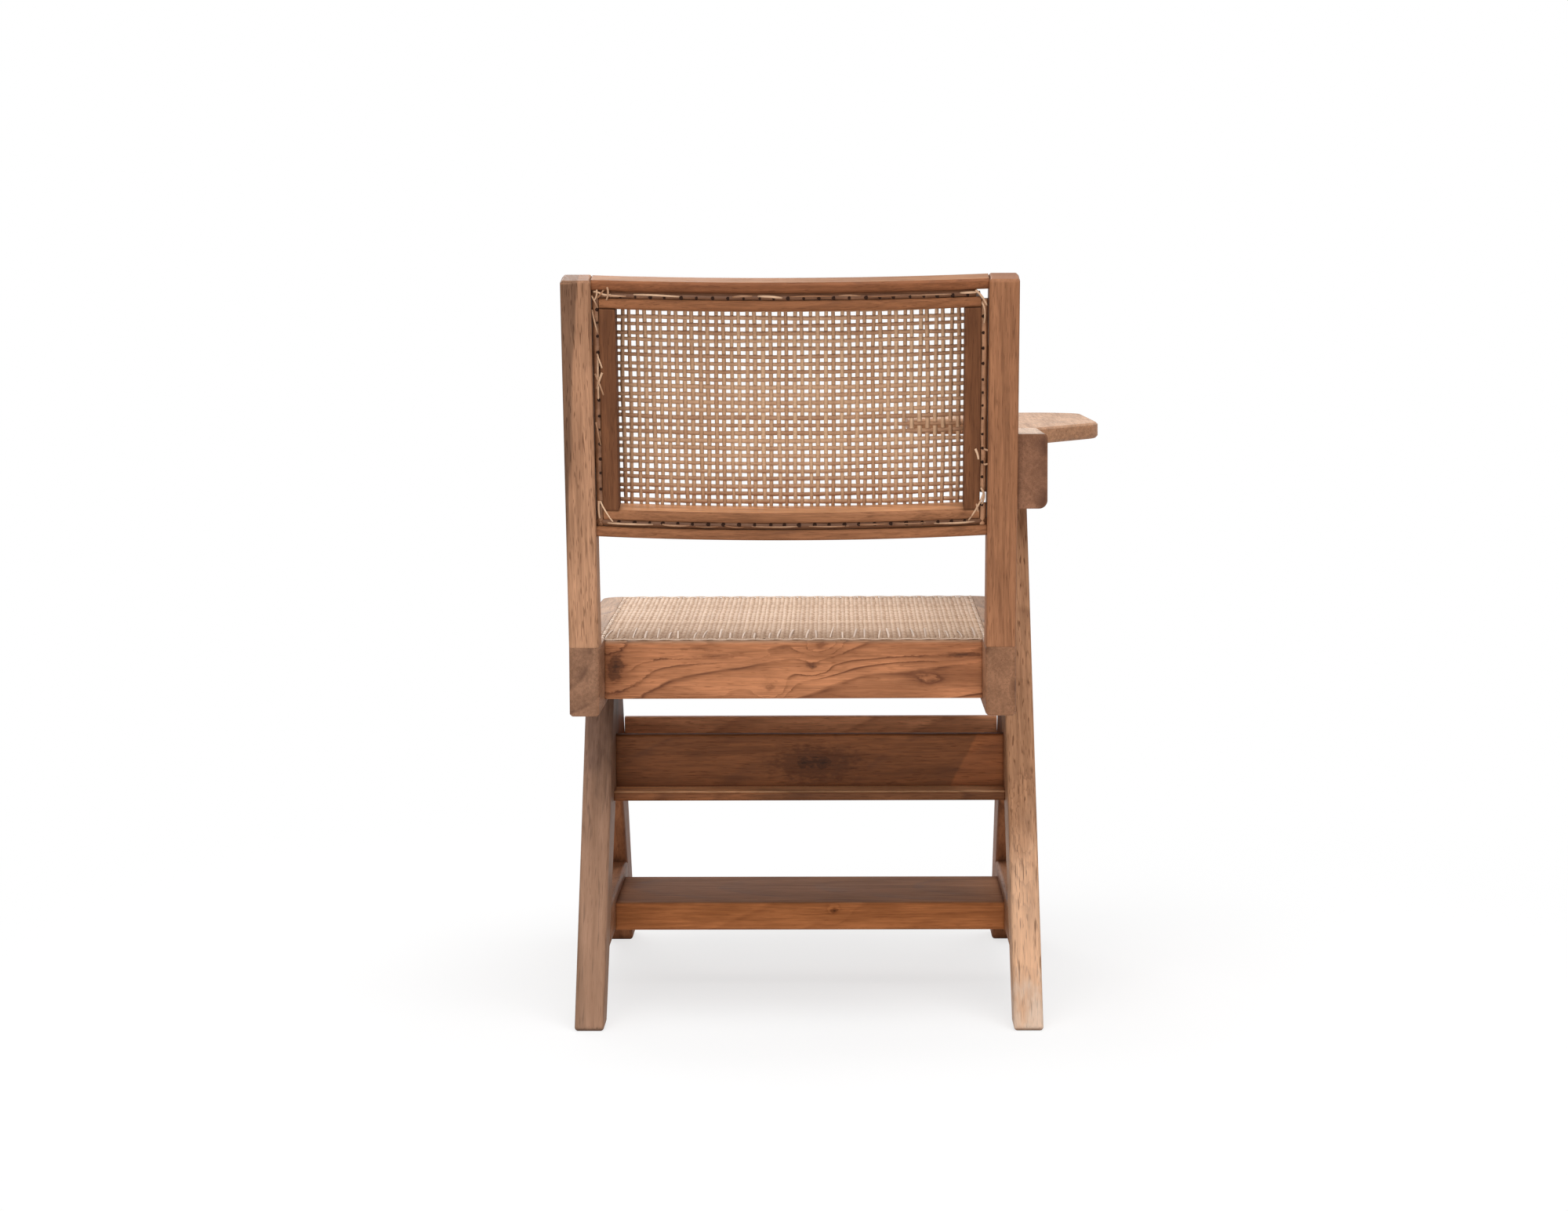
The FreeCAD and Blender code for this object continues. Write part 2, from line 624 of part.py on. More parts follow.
def back_cane_lacing():
    """Cane sewn along the slot, from hole to hole in the outer edges of the cane frame."""
    thick = CANE_SLOT - LACING_CLEAR
    depths = (LACING_INSET, LACING_INSET + LACING_DEPTH)
    wide = (-FRAME_HALF, FRAME_HALF)
    tall = (FRAME_BOTTOM[0], FRAME_TOP[1])
    runs = [
        bowed(wide, (FRAME_TOP[1], FRAME_TOP[1] + thick), depths),
        bowed(wide, (FRAME_BOTTOM[0] - thick, FRAME_BOTTOM[0]), depths),
        bowed((FRAME_HALF, FRAME_HALF + thick), tall, depths),
        bowed((-FRAME_HALF - thick, -FRAME_HALF), tall, depths),
    ]
    return lean(Part.makeCompound(runs))


def post_front(z):
    """Forward place of the front edge of a post."""
    share = (z - RAIL_TOP) / (BACK_HEIGHT - RAIL_TOP)
    top = POST_TIP * math.cos(LEAN) - POST_LENGTH * math.sin(LEAN)
    return POST_FOOT + (top - POST_FOOT) * share


def back_post(across, side):
    """Post of the back: leaning, tapered, tenoned into the rear end of a seat rail."""
    rear_top = (-POST_LENGTH * math.sin(LEAN), RAIL_TOP + POST_LENGTH * math.cos(LEAN))
    front_top = (post_front(BACK_HEIGHT), BACK_HEIGHT)
    outline = [(0, RAIL_TOP), (POST_FOOT, RAIL_TOP), front_top, rear_top]

    def on_top(point):
        return on_line(point, front_top, rear_top)

    def along(point):
        return point.z > RAIL_TOP + TOLERANCE and not on_top(point)

    post = bevelled(eased(board(outline, across), EASE, along), BEVEL, on_top)
    post = joined(post, [post_tenon(across, 0)])
    sockets = [rail_tenon(rows, side, GLUE_ROOM) for rows in (BOTTOM_RAIL, TOP_RAIL)]
    return without(post, [lean(socket) for socket in sockets + slot_blocks(GLUE_ROOM)])


def right_back_post():
    """Right post, with the sockets of the arm."""
    return without(back_post(RIGHT, -1), arm_keys(GLUE_ROOM))


# Arm and tablet

def arm_keys(room):
    """Loose tenons that hold the arm on the outer face of the right post."""
    reach = around(-HALF, 2 * (KEY_BITE + room))
    keys = []
    for z in (ARM_BOTTOM + KEY_INSET, ARM_TOP - KEY_INSET):
        forward = around((post_front(z) - ARM_REAR) / 2, KEY_THICK)
        keys.append(block(reach, forward, around(z, KEY_WIDTH)))
    return keys


def tablet_keys(room):
    """Loose tenons between the arm and the tablet on it."""
    heights = (TABLET_BOTTOM - KEY_BITE - room, TABLET_BOTTOM + TABLET_KEY_BITE + room)
    places = (TABLET_FORWARD + KEY_INSET, ARM_FRONT - KEY_INSET)
    return [block(strip(OUTBOARD, KEY_THICK), around(place, KEY_WIDTH), heights) for place in places]


def arm():
    """Arm rail beside the post and over the long leg, stepped down under the tablet."""
    outline = [
        (-ARM_REAR, ARM_BOTTOM),
        (ARM_FRONT - ARM_NOSE_LENGTH, ARM_BOTTOM),
        (ARM_FRONT, ARM_BOTTOM + ARM_NOSE_RISE),
        (ARM_FRONT, TABLET_BOTTOM),
        (TABLET_FORWARD, TABLET_BOTTOM),
        (TABLET_FORWARD, ARM_TOP),
        (-ARM_REAR, ARM_TOP),
    ]
    rail = board(outline, OUTBOARD)
    rail = eased(rail, ARM_EDGE, lambda point: near(point.x, OUTBOARD[0]) and near(point.z, ARM_BOTTOM))
    rail = eased(rail, EASE, lambda point: near(point.x, OUTBOARD[0]) and near(point.z, ARM_TOP))
    return without(rail, [arm_tenon(GLUE_ROOM)] + arm_keys(GLUE_ROOM) + tablet_keys(GLUE_ROOM))


def rounded_outline(corners, z):
    """Closed wire through (x, forward, radius) corners, each rounded by an arc."""
    points = [at(x, forward, z) for x, forward, radius in corners]
    starts = []
    ends = []
    edges = []
    for i, corner in enumerate(points):
        before = (points[i - 1] - corner).normalize()
        after = (points[(i + 1) % len(points)] - corner).normalize()
        half = before.getAngle(after) / 2
        radius = corners[i][2]
        starts.append(corner + before * (radius / math.tan(half)))
        ends.append(corner + after * (radius / math.tan(half)))
        if radius > 0:
            top = corner + (before + after).normalize() * (radius / math.sin(half) - radius)
            edges.append(Part.Arc(starts[i], top, ends[i]).toShape())
    edges += [Part.makeLine(ends[i - 1], starts[i]) for i in range(len(points))]
    return Part.Wire(Part.__sortEdges__(edges))


def writing_tablet():
    """Paddle-shaped board let into the arm, with a step that leaves room for the sitter."""
    inner, outer = OUTBOARD[1], OUTBOARD[0]
    step = TABLET_FORWARD + TABLET_STEP
    front = TABLET_FORWARD + TABLET_LENGTH
    corners = [
        (inner, TABLET_FORWARD, 0),
        (inner, step, TABLET_STEP_ROUND),
        (inner + TABLET_IN, step, TABLET_STEP_ROUND),
        (inner + TABLET_IN, front, TABLET_ROUND),
        (outer - TABLET_OUT, front, TABLET_ROUND),
        (outer - TABLET_OUT, TABLET_FORWARD + TABLET_FLARE, TABLET_FLARE_ROUND),
        (outer, TABLET_FORWARD, 0),
    ]
    tablet = Part.Face(rounded_outline(corners, TABLET_BOTTOM)).extrude(FreeCAD.Vector(0, 0, TABLET_THICK))
    tablet = bevelled(
        tablet,
        BEVEL,
        lambda point: point.y < -TABLET_FORWARD - TOLERANCE
        and (near(point.z, TABLET_BOTTOM) or near(point.z, ARM_TOP)),
    )
    return without(tablet, tablet_keys(GLUE_ROOM))


# Book tray

def tray_tenons(limits, heights, room):
    """Stub tenons at both ends of a board of the tray, where the legs cover it."""
    forward = strip(limits, KEY_THICK)
    reach = KEY_BITE + room
    return [
        block(outward(CLEAR, 1, -EASE, reach), forward, heights),
        block(outward(-HALF, -1, -EASE, reach), forward, heights),
    ]


def tray_board(limits, heights):
    """Upright board of the tray, rounded along its upper edges."""
    plank = block(BETWEEN_LEGS, limits, (TRAY_FLOOR, TRAY_TOP))
    plank = eased(
        plank,
        EASE,
        lambda point: near(point.z, TRAY_TOP) and near(point.x, sum(BETWEEN_LEGS) / 2),
    )
    return joined(plank, tray_tenons(limits, heights, 0))


def tray_bottom():
    """Bottom of the tray, which reaches out behind the rear board as a ledge."""
    plank = block(BETWEEN_LEGS, (TRAY_REAR, TRAY_FRONT), (TRAY_FLOOR - TRAY_BOTTOM, TRAY_FLOOR))
    plank = eased(
        plank,
        EASE,
        lambda point: near(point.y, -TRAY_REAR) and near(point.x, sum(BETWEEN_LEGS) / 2),
    )
    return without(plank, tray_pegs(0))


def tray_pegs(room):
    """Square pegs between the bottom of the tray and the legs."""
    z = TRAY_FLOOR - TRAY_BOTTOM / 2
    rear = (TRAY_REAR + leg_inner(z)) / 2
    pegs = []
    for inner, side in ((CLEAR, 1), (-HALF, -1)):
        reach = outward(inner, side, -PEG_BITE, PEG_BITE + room)
        for forward in (rear, mirrored(rear)):
            pegs.append(block(reach, around(forward, PEG), around(z, PEG)))
    return pegs


def nodes():
    """Every piece of the chair by name."""
    return {
        "left_seat_rail": left_seat_rail(),
        "right_seat_rail": right_seat_rail(),
        "rear_seat_rail": cross_rail(REAR_RAIL_FORWARD, REAR_RAIL_FORWARD),
        "front_seat_rail": cross_rail(SEAT_LENGTH - CROSS_RAIL_THICK, SEAT_LENGTH),
        "seat_cane": seat_cane(),
        "seat_cane_binder": seat_cane_binder(),
        "left_rear_leg": left_leg(False),
        "left_front_leg": left_leg(True),
        "right_rear_leg": right_rear_leg(),
        "right_front_leg": right_front_leg(),
        "left_foot_stretcher": foot_stretcher(LEFT, CLEAR, 1),
        "right_foot_stretcher": foot_stretcher(OUTBOARD, -HALF, -1),
        "foot_plank": foot_plank(),
        "left_leg_key": left_leg_key(0),
        "right_leg_key": right_leg_key(0),
        "leg_to_rail_keys": Part.makeCompound(leg_to_rail_keys(0)),
        "left_back_post": back_post(LEFT, 1),
        "right_back_post": right_back_post(),
        "back_top_rail": outer_rail(TOP_RAIL),
        "back_bottom_rail": outer_rail(BOTTOM_RAIL),
        "cane_frame_top_rail": frame_rail(FRAME_TOP),
        "cane_frame_bottom_rail": frame_rail(FRAME_BOTTOM),
        "cane_frame_left_stile": frame_stile(1),
        "cane_frame_right_stile": frame_stile(-1),
        "cane_frame_blocks": lean(Part.makeCompound(slot_blocks(0))),
        "back_cane": back_cane(),
        "back_cane_lacing": back_cane_lacing(),
        "arm": arm(),
        "arm_keys": Part.makeCompound(arm_keys(0)),
        "writing_tablet": writing_tablet(),
        "tablet_keys": Part.makeCompound(tablet_keys(0)),
        "tray_bottom": tray_bottom(),
        "tray_rear_board": tray_board(REAR_BOARD, REAR_TENON_HEIGHTS),
        "tray_front_board": tray_board(FRONT_BOARD, FRONT_TENON_HEIGHTS),
        "tray_pegs": Part.makeCompound(tray_pegs(0)),
    }


def footprint_centre(pieces):
    """Middle of the chair's bounding box, on the floor."""
    box = FreeCAD.BoundBox()
    for piece in pieces:
        box.add(piece.optimalBoundingBox(False, False))
    return FreeCAD.Vector(box.Center.x, box.Center.y, 0)


def main():
    """Build, centre and write every piece."""
    pieces = nodes()
    centre = footprint_centre(pieces.values())
    os.makedirs("parts", exist_ok=True)
    for name, piece in pieces.items():
        piece.translate(-centre)
        piece.exportStep(f"parts/{name}.step")


main()
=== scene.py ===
"""Looks of a teak writing chair with a caned seat and back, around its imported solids.

Metres, +Z up. The sitter faces -Y, and the arm with its tablet is on -X.
"""

import json
import logging
import math
from dataclasses import dataclass, field, replace
from enum import Enum
from typing import Callable, Optional, Sequence, Union

import bpy
import numpy as np
from mathutils import Euler, Matrix, Vector

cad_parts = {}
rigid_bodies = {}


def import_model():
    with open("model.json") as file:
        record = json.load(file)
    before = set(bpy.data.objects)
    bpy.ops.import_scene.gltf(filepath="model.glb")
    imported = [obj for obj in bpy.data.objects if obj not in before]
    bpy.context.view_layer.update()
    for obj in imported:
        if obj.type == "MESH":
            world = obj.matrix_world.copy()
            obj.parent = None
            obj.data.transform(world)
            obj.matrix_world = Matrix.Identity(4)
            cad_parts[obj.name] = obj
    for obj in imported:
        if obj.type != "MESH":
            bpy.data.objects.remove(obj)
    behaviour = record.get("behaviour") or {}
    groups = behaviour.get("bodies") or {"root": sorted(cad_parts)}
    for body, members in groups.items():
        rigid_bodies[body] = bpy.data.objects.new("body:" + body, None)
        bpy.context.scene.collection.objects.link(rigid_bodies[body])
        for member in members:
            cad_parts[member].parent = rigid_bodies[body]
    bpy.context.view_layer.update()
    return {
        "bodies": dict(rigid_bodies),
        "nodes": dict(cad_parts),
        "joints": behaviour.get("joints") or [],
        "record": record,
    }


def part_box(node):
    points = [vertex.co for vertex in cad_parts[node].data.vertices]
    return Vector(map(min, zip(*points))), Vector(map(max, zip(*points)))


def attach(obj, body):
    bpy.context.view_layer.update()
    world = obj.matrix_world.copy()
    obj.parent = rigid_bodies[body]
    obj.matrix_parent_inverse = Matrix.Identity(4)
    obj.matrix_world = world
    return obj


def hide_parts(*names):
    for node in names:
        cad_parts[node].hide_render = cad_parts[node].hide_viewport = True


logger = logging.getLogger("writing_chair")

Array = np.ndarray
Node = bpy.types.Node
Object = bpy.types.Object
Socket = bpy.types.NodeSocket
Pair = tuple[float, float]
Triple = tuple[float, float, float]
Colour = Triple
Size = Union[float, Array]
Sockets = dict[str, Sequence[str]]
Value = Union[float, Socket]
Surface = Callable[[Array, Array, Array], tuple[Array, Array]]
Stain = Callable[[Array, Array], Array]

BODY = "root"
MM = 0.001
LEAN = math.radians(10.7)  # of the back posts
SEAT_MIDDLE = 0.0555  # middle of the seat, across
RAIL_REAR = 0.2805  # rear ends of the side seat rails
RAIL_TOP = 0.422  # their top, at the posts
STATIONS = 13  # points along a sewn strand or a loose end


def paint(red: int, green: int, blue: int) -> Colour:
    """Linear colour of an sRGB colour: a straight line near black and a power of 2.4 above it.

    Args:
        red: red in steps of 0 to 255.
        green: green in such steps.
        blue: blue in such steps.

    Returns:
        The linear colour.
    """
    steps = np.array([red, green, blue]) / 255
    linear = np.where(steps <= 0.04045, steps / 12.92, ((steps + 0.055) / 1.055) ** 2.4)
    return tuple(float(value) for value in linear)


class Grain(Enum):
    """Which way the grain of a member runs: a direction in the chair's frame."""

    ACROSS = (1.0, 0.0, 0.0)
    LENGTHWISE = (0.0, 1.0, 0.0)
    LEANING = (0.0, math.sin(LEAN), math.cos(LEAN))
    REAR_LEG = (0.0, -0.55, 0.83)
    FRONT_LEG = (0.0, 0.55, 0.83)

    def turn(self) -> Euler:
        """Find how a pattern along X is turned to the grain.

        Returns:
            The turn that brings the way of the grain onto X.
        """
        across, back, up = self.value
        if across:
            return Euler((0.0, 0.0, 0.0))
        return Euler((-math.atan2(up, back), 0.0, -math.pi / 2))


class Tree:
    """Short ways to add shader nodes to one node tree."""

    def __init__(self, tree: bpy.types.NodeTree) -> None:
        """Keep the tree that the nodes go into."""
        self.tree = tree

    def add(self, kind: str, **settings: object) -> Node:
        """Add a node.

        Args:
            kind: the node's type without its ShaderNode prefix.
            settings: properties of the node.

        Returns:
            The new node.
        """
        node = self.tree.nodes.new("ShaderNode" + kind)
        for name, value in settings.items():
            setattr(node, name, value)
        return node

    def plug(self, socket: Socket, value: object) -> None:
        """Link a socket to a value that is a socket, or else set it.

        Args:
            socket: an input of a node.
            value: a socket to link, or a number, a vector or a colour to set.
        """
        if isinstance(value, Socket):
            self.tree.links.new(value, socket)
        elif socket.type == "RGBA":
            socket.default_value = (*value, 1.0)
        else:
            socket.default_value = value

    def fill(self, node: Node, **values: object) -> Node:
        """Set or link inputs of a node.

        Args:
            node: the node.
            values: input values or sockets, by the input's name with _ for a space.

        Returns:
            The same node.
        """
        for name, value in values.items():
            self.plug(node.inputs[name.replace("_", " ")], value)
        return node

    def math(self, operation: str, first: Value, second: Value = 0.0, third: Value = 0.0) -> Socket:
        """Add a math node.

        Args:
            operation: what it does.
            first: its first value.
            second: its second value.
            third: its third value.

        Returns:
            The node's result.
        """
        node = self.add("Math", operation=operation)
        for socket, value in zip(node.inputs, (first, second, third)):
            self.plug(socket, value)
        return node.outputs[0]

    def times(self, first: Value, second: Value) -> Socket:
        """Product of two values."""
        return self.math("MULTIPLY", first, second)

    def ramp(self, value: Value, rate: Value, start: Value) -> Socket:
        """A value times a rate, plus a start."""
        return self.math("MULTIPLY_ADD", value, rate, start)

    def sway(self, noise: Socket, amount: float, start: Value) -> Socket:
        """A start that a noise moves to both sides, by half the amount at most."""
        return self.ramp(self.math("SUBTRACT", noise, 0.5), amount, start)

    def vector(self, operation: str, first: object, second: object = (0.0, 0.0, 0.0)) -> Socket:
        """Add a vector math node.

        Args:
            operation: what it does.
            first: its first vector.
            second: its second vector.

        Returns:
            The node's value for LENGTH and DOT_PRODUCT, else its vector.
        """
        node = self.add("VectorMath", operation=operation)
        self.plug(node.inputs[0], first)
        self.plug(node.inputs[1], second)
        return node.outputs["Value" if operation in ("LENGTH", "DOT_PRODUCT") else "Vector"]

    def noise(self, place: Socket, scale: Triple, detail: float, rough: float) -> Socket:
        """Add a noise that is stretched along the axes.

        Args:
            place: where it is read.
            scale: its scale per metre along each axis.
            detail: number of finer layers.
            rough: strength of the finer layers.

        Returns:
            The value of the noise.
        """
        stretched = self.vector("MULTIPLY", place, scale)
        node = self.fill(self.add("TexNoise"), Vector=stretched, Scale=1.0, Detail=detail, Roughness=rough)
        return node.outputs[0]

    def spread(self, value: Value, low: float, high: float, start: Value = 0.0, end: Value = 1.0) -> Socket:
        """Smooth step of a value between two limits, mapped to a start and an end.

        Args:
            value: the value.
            low: limit at which the result is the start.
            high: limit at which the result is the end.
            start: first result.
            end: last result.

        Returns:
            The mapped value.
        """
        node = self.add("MapRange", interpolation_type="SMOOTHSTEP")
        for socket, given in zip(node.inputs, (value, low, high, start, end)):
            self.plug(socket, given)
        return node.outputs[0]

    def mix(self, factor: Value, first: object, second: object, blend: str = "MIX") -> Socket:
        """Mix two colours.

        Args:
            factor: share of the second colour.
            first: the first colour.
            second: the second colour.
            blend: how the second is laid over the first.

        Returns:
            The mixed colour.
        """
        node = self.add("Mix", data_type="RGBA", blend_type=blend)
        for slot, value in ((0, factor), (6, first), (7, second)):
            self.plug(node.inputs[slot], value)
        return node.outputs[2]

    def tint(self, colour: object, factors: object) -> Socket:
        """A colour times another."""
        return self.mix(1.0, colour, factors, "MULTIPLY")

    def bump(self, height: Socket, strength: float, distance: float) -> Node:
        """Node that turns a height into a normal."""
        return self.fill(self.add("Bump"), Strength=strength, Distance=distance, Height=height)


def new_material(name: str) -> tuple[bpy.types.Material, Tree, Node]:
    """Make a material.

    Args:
        name: the material's name.

    Returns:
        The material, its tree and its shader.
    """
    material = bpy.data.materials.new(name)
    material.use_nodes = True
    return material, Tree(material.node_tree), material.node_tree.nodes["Principled BSDF"]


def new_object(name: str, data: bpy.types.ID) -> Object:
    """Put a new object into the scene, at the origin.

    Args:
        name: the object's name.
        data: its mesh, lamp or camera.

    Returns:
        The new object.
    """
    thing = bpy.data.objects.new(name, data)
    bpy.context.scene.collection.objects.link(thing)
    return thing


class Group(Tree):
    """A node group with named inputs and outputs, built once and placed in several materials."""

    KINDS = {"value": "NodeSocketFloat", "colour": "NodeSocketColor", "vector": "NodeSocketVector"}

    def __init__(self, name: str, inputs: Sockets, outputs: Sockets) -> None:
        """Make the group's sockets.

        Args:
            name: the group's name.
            inputs: names of the inputs of each kind.
            outputs: names of the outputs of each kind.
        """
        super().__init__(bpy.data.node_groups.new(name, "ShaderNodeTree"))
        for in_out, sockets in (("INPUT", inputs), ("OUTPUT", outputs)):
            for kind, labels in sockets.items():
                for label in labels:
                    self.tree.interface.new_socket(
                        label.replace("_", " "), in_out=in_out, socket_type=self.KINDS[kind]
                    )
        self.given = self.tree.nodes.new("NodeGroupInput").outputs
        self.result = self.tree.nodes.new("NodeGroupOutput")

    def place(self, tree: Tree, **values: object) -> Node:
        """Group node in a material's tree, with its input values."""
        return tree.fill(tree.add("Group", node_tree=self.tree), **values)


class TeakGrain(Group):
    """Growth rings, fibres, pores and streaks of teak, as a solid pattern around a pith along X."""

    SAWN = ("Ring_Pitch", "Wander", "Figure", "Taper", "Ring_Depth", "Streaks", "Pores", "Blotch")
    SHADES = ((1.32, 1.32, 1.32), (0.78, 0.74, 0.7), (0.36, 0.29, 0.26), (0.17, 0.18, 0.21))

    def __init__(self) -> None:
        """Build the pattern: rings are steps of the distance from a wandering pith."""
        super().__init__(
            "teak_grain",
            {"vector": ["Place"], "colour": ["Base"], "value": [*self.SAWN, "Knot_Lift", "Knot_Stain"]},
            {"colour": ["Color"], "value": ["Height", "Shine"]},
        )
        given, place = self.given, self.given["Place"]
        share = self.math("FRACT", self.rings())
        late = self.times(self.math("POWER", share, 6.0), self.spread(share, 0.88, 1.0, 1.0, 0.0))
        broken = self.noise(place, (11.0, 50.0, 50.0), 2.0, 0.6)
        late = self.times(late, self.spread(broken, 0.35, 0.62, 0.1, 2.0))
        fibre = self.noise(place, (40.0, 1100.0, 1100.0), 2.0, 0.6)
        line = self.noise(place, (15.0, 300.0, 300.0), 3.0, 0.6)
        blotch = self.noise(place, (7.0, 36.0, 36.0), 4.0, 0.6)
        vein = self.noise(place, (3.5, 95.0, 95.0), 2.0, 0.5)
        streak = self.times(self.spread(vein, 0.55, 0.72), given["Streaks"])
        dash = self.noise(place, (80.0, 850.0, 850.0), 0.0, 0.5)
        pore = self.times(self.spread(dash, 0.64, 0.76), given["Pores"])
        tone = self.ramp(self.spread(blotch, 0.3, 0.7, -0.5, 0.5), given["Blotch"], 0.5)
        tone = self.math("ADD", tone, self.spread(line, 0.3, 0.7, -0.27, 0.27))
        tone = self.ramp(share, self.times(given["Ring Depth"], 0.35), tone)
        pale, middle, dark, black = (self.vector("MULTIPLY", given["Base"], shade) for shade in self.SHADES)
        colour = self.mix(self.spread(tone, -0.1, 1.2), pale, middle)
        deep = self.times(late, given["Ring Depth"])
        deep = self.math("MAXIMUM", deep, self.times(streak, 0.7))
        deep = self.math("MAXIMUM", deep, given["Knot Stain"])
        colour = self.mix(deep, colour, dark)
        colour = self.mix(self.spread(given["Knot Stain"], 0.55, 1.0, 0.0, 0.85), colour, black)
        colour = self.tint(colour, self.grey(self.spread(fibre, 0.25, 0.75, 0.87, 1.12)))
        colour = self.mix(self.times(pore, 0.8), colour, dark)
        relief = self.ramp(fibre, 0.35, self.times(line, 0.35))
        relief = self.ramp(late, 0.15, self.math("SUBTRACT", relief, self.times(pore, 0.8)))
        shine = self.ramp(fibre, 0.22, self.times(pore, 0.2))
        shine = self.math("SUBTRACT", shine, self.times(late, 0.08))
        self.fill(self.result, Color=colour, Height=relief, Shine=shine)

    def rings(self) -> Socket:
        """Count the growth rings from the pith: the distance from it, swayed by noise, over the pitch.

        Returns:
            The count, whose fraction is the place within a ring.
        """
        given, place, half = self.given, self.given["Place"], (0.5, 0.5, 0.5)
        wide = self.noise(place, (2.2, 8.0, 8.0), 2.0, 0.45).node
        self.plug(wide.inputs["Scale"], given["Figure"])
        drift = self.vector("SUBTRACT", wide.outputs["Color"], half)
        small = self.noise(place, (14.0, 60.0, 60.0), 2.0, 0.5).node.outputs["Color"]
        small = self.vector("MULTIPLY", self.vector("SUBTRACT", small, half), (0.12, 0.12, 0.12))
        sway = self.vector("SCALE", self.vector("ADD", drift, small))
        self.plug(sway.node.inputs["Scale"], given["Wander"])
        squash = self.fill(self.add("CombineXYZ"), X=given["Taper"], Y=1.0, Z=1.0)
        bent = self.vector("MULTIPLY", self.vector("ADD", place, sway), squash.outputs[0])
        radius = self.math("ADD", self.vector("LENGTH", bent), given["Knot Lift"])
        rings = self.math("DIVIDE", radius, given["Ring Pitch"])
        uneven = self.add("TexNoise", noise_dimensions="1D")
        self.fill(uneven, W=self.times(rings, 0.55), Scale=1.0, Detail=1.0)
        return self.math("ADD", rings, self.times(uneven.outputs[0], 1.6))

    def grey(self, value: Socket) -> Socket:
        """Grey colour of a value."""
        return self.fill(self.add("CombineColor"), Red=value, Green=value, Blue=value).outputs[0]


class TeakKnot(Group):
    """One knot: it lifts the growth rings round itself and stains its heart."""

    def __init__(self) -> None:
        """Build the knot: both outputs fall off with the distance from its heart."""
        super().__init__(
            "teak_knot",
            {"vector": ["Place", "Heart", "Stretch"], "value": ["Reach", "Lift", "Stain"]},
            {"value": ["Lift", "Stain"]},
        )
        given = self.given
        offset = self.vector("SUBTRACT", given["Place"], given["Heart"])
        ragged = self.noise(offset, (90.0, 220.0, 220.0), 2.0, 0.6)
        distance = self.vector("LENGTH", self.vector("MULTIPLY", offset, given["Stretch"]))
        distance = self.sway(ragged, 0.6, self.math("DIVIDE", distance, given["Reach"]))
        fall = self.math("EXPONENT", self.times(self.times(distance, distance), -1.0))
        circles = self.ramp(self.math("COSINE", self.times(distance, 24.0)), 0.14, 0.9)
        heart = self.times(self.spread(distance, 0.1, 0.5, 1.0, 0.0), circles)
        self.fill(self.result, Lift=self.times(fall, given["Lift"]), Stain=self.times(heart, given["Stain"]))


class EdgeWearAndShade(Group):
    """Paler edges, from wear and a painted highlight, and darker corners, from grime and painted shade."""

    ROUNDING = 0.0030
    CORNER_REACH = 0.008

    def __init__(self) -> None:
        """Build both masks: edges where a rounded normal turns away, corners where little light comes in."""
        super().__init__(
            "edge_wear_and_shade", {"vector": ["Place"]}, {"value": ["Edge", "Corner"], "vector": ["Normal"]}
        )
        rounded = self.fill(self.add("Bevel", samples=4), Radius=self.ROUNDING).outputs[0]
        normal = self.add("NewGeometry").outputs["Normal"]
        turned = self.math("SUBTRACT", 1.0, self.vector("DOT_PRODUCT", rounded, normal))
        patchy = self.noise(self.given["Place"], (40.0, 40.0, 40.0), 3.0, 0.6)
        edge = self.times(self.spread(turned, 0.005, 0.09), self.spread(patchy, 0.35, 0.65))
        hollow = self.fill(self.add("AmbientOcclusion", samples=6), Distance=self.CORNER_REACH)
        corner = self.spread(hollow.outputs["AO"], 0.3, 0.9, 1.0, 0.0)
        self.fill(self.result, Edge=edge, Corner=corner, Normal=rounded)


class CaneFibre(Group):
    """Split cane: long fibres, its own tone for each strand and darker dips: painted shade where strands pass
    under.
    """

    def __init__(self) -> None:
        """Build the colour from the strand's tone, its fibres and its dips."""
        super().__init__(
            "cane_fibre",
            {"vector": ["Place"], "colour": ["Light", "Deep"], "value": ["Tone", "Dip"]},
            {"colour": ["Color"], "value": ["Height"]},
        )
        given, place = self.given, self.given["Place"]
        fibre = self.noise(place, (35.0, 2600.0, 2600.0), 2.0, 0.6)
        stain = self.noise(place, (30.0, 80.0, 80.0), 3.0, 0.6)
        tone = self.sway(fibre, 0.7, self.sway(stain, 1.2, given["Tone"]))
        colour = self.mix(self.spread(tone, -0.1, 1.1), given["Light"], given["Deep"])
        # painted shade: darker where a strand passes under
        under = self.vector("MULTIPLY", given["Deep"], (0.55, 0.5, 0.46))
        colour = self.mix(self.times(given["Dip"], 0.65), colour, under)
        self.fill(self.result, Color=colour, Height=fibre)


@dataclass
class Groups:
    """The node groups that the finishes share."""

    teak: TeakGrain = field(default_factory=TeakGrain)
    knot: TeakKnot = field(default_factory=TeakKnot)
    wear_and_shade: EdgeWearAndShade = field(default_factory=EdgeWearAndShade)
    cane: CaneFibre = field(default_factory=CaneFibre)


@dataclass(frozen=True)
class Knot:
    """A knot, placed from the middle of its board and drawn out along the grain."""

    along: float
    across: float
    through: float
    reach: float
    lift: float
    stain: float = 0.8
    stretch: float = 0.55


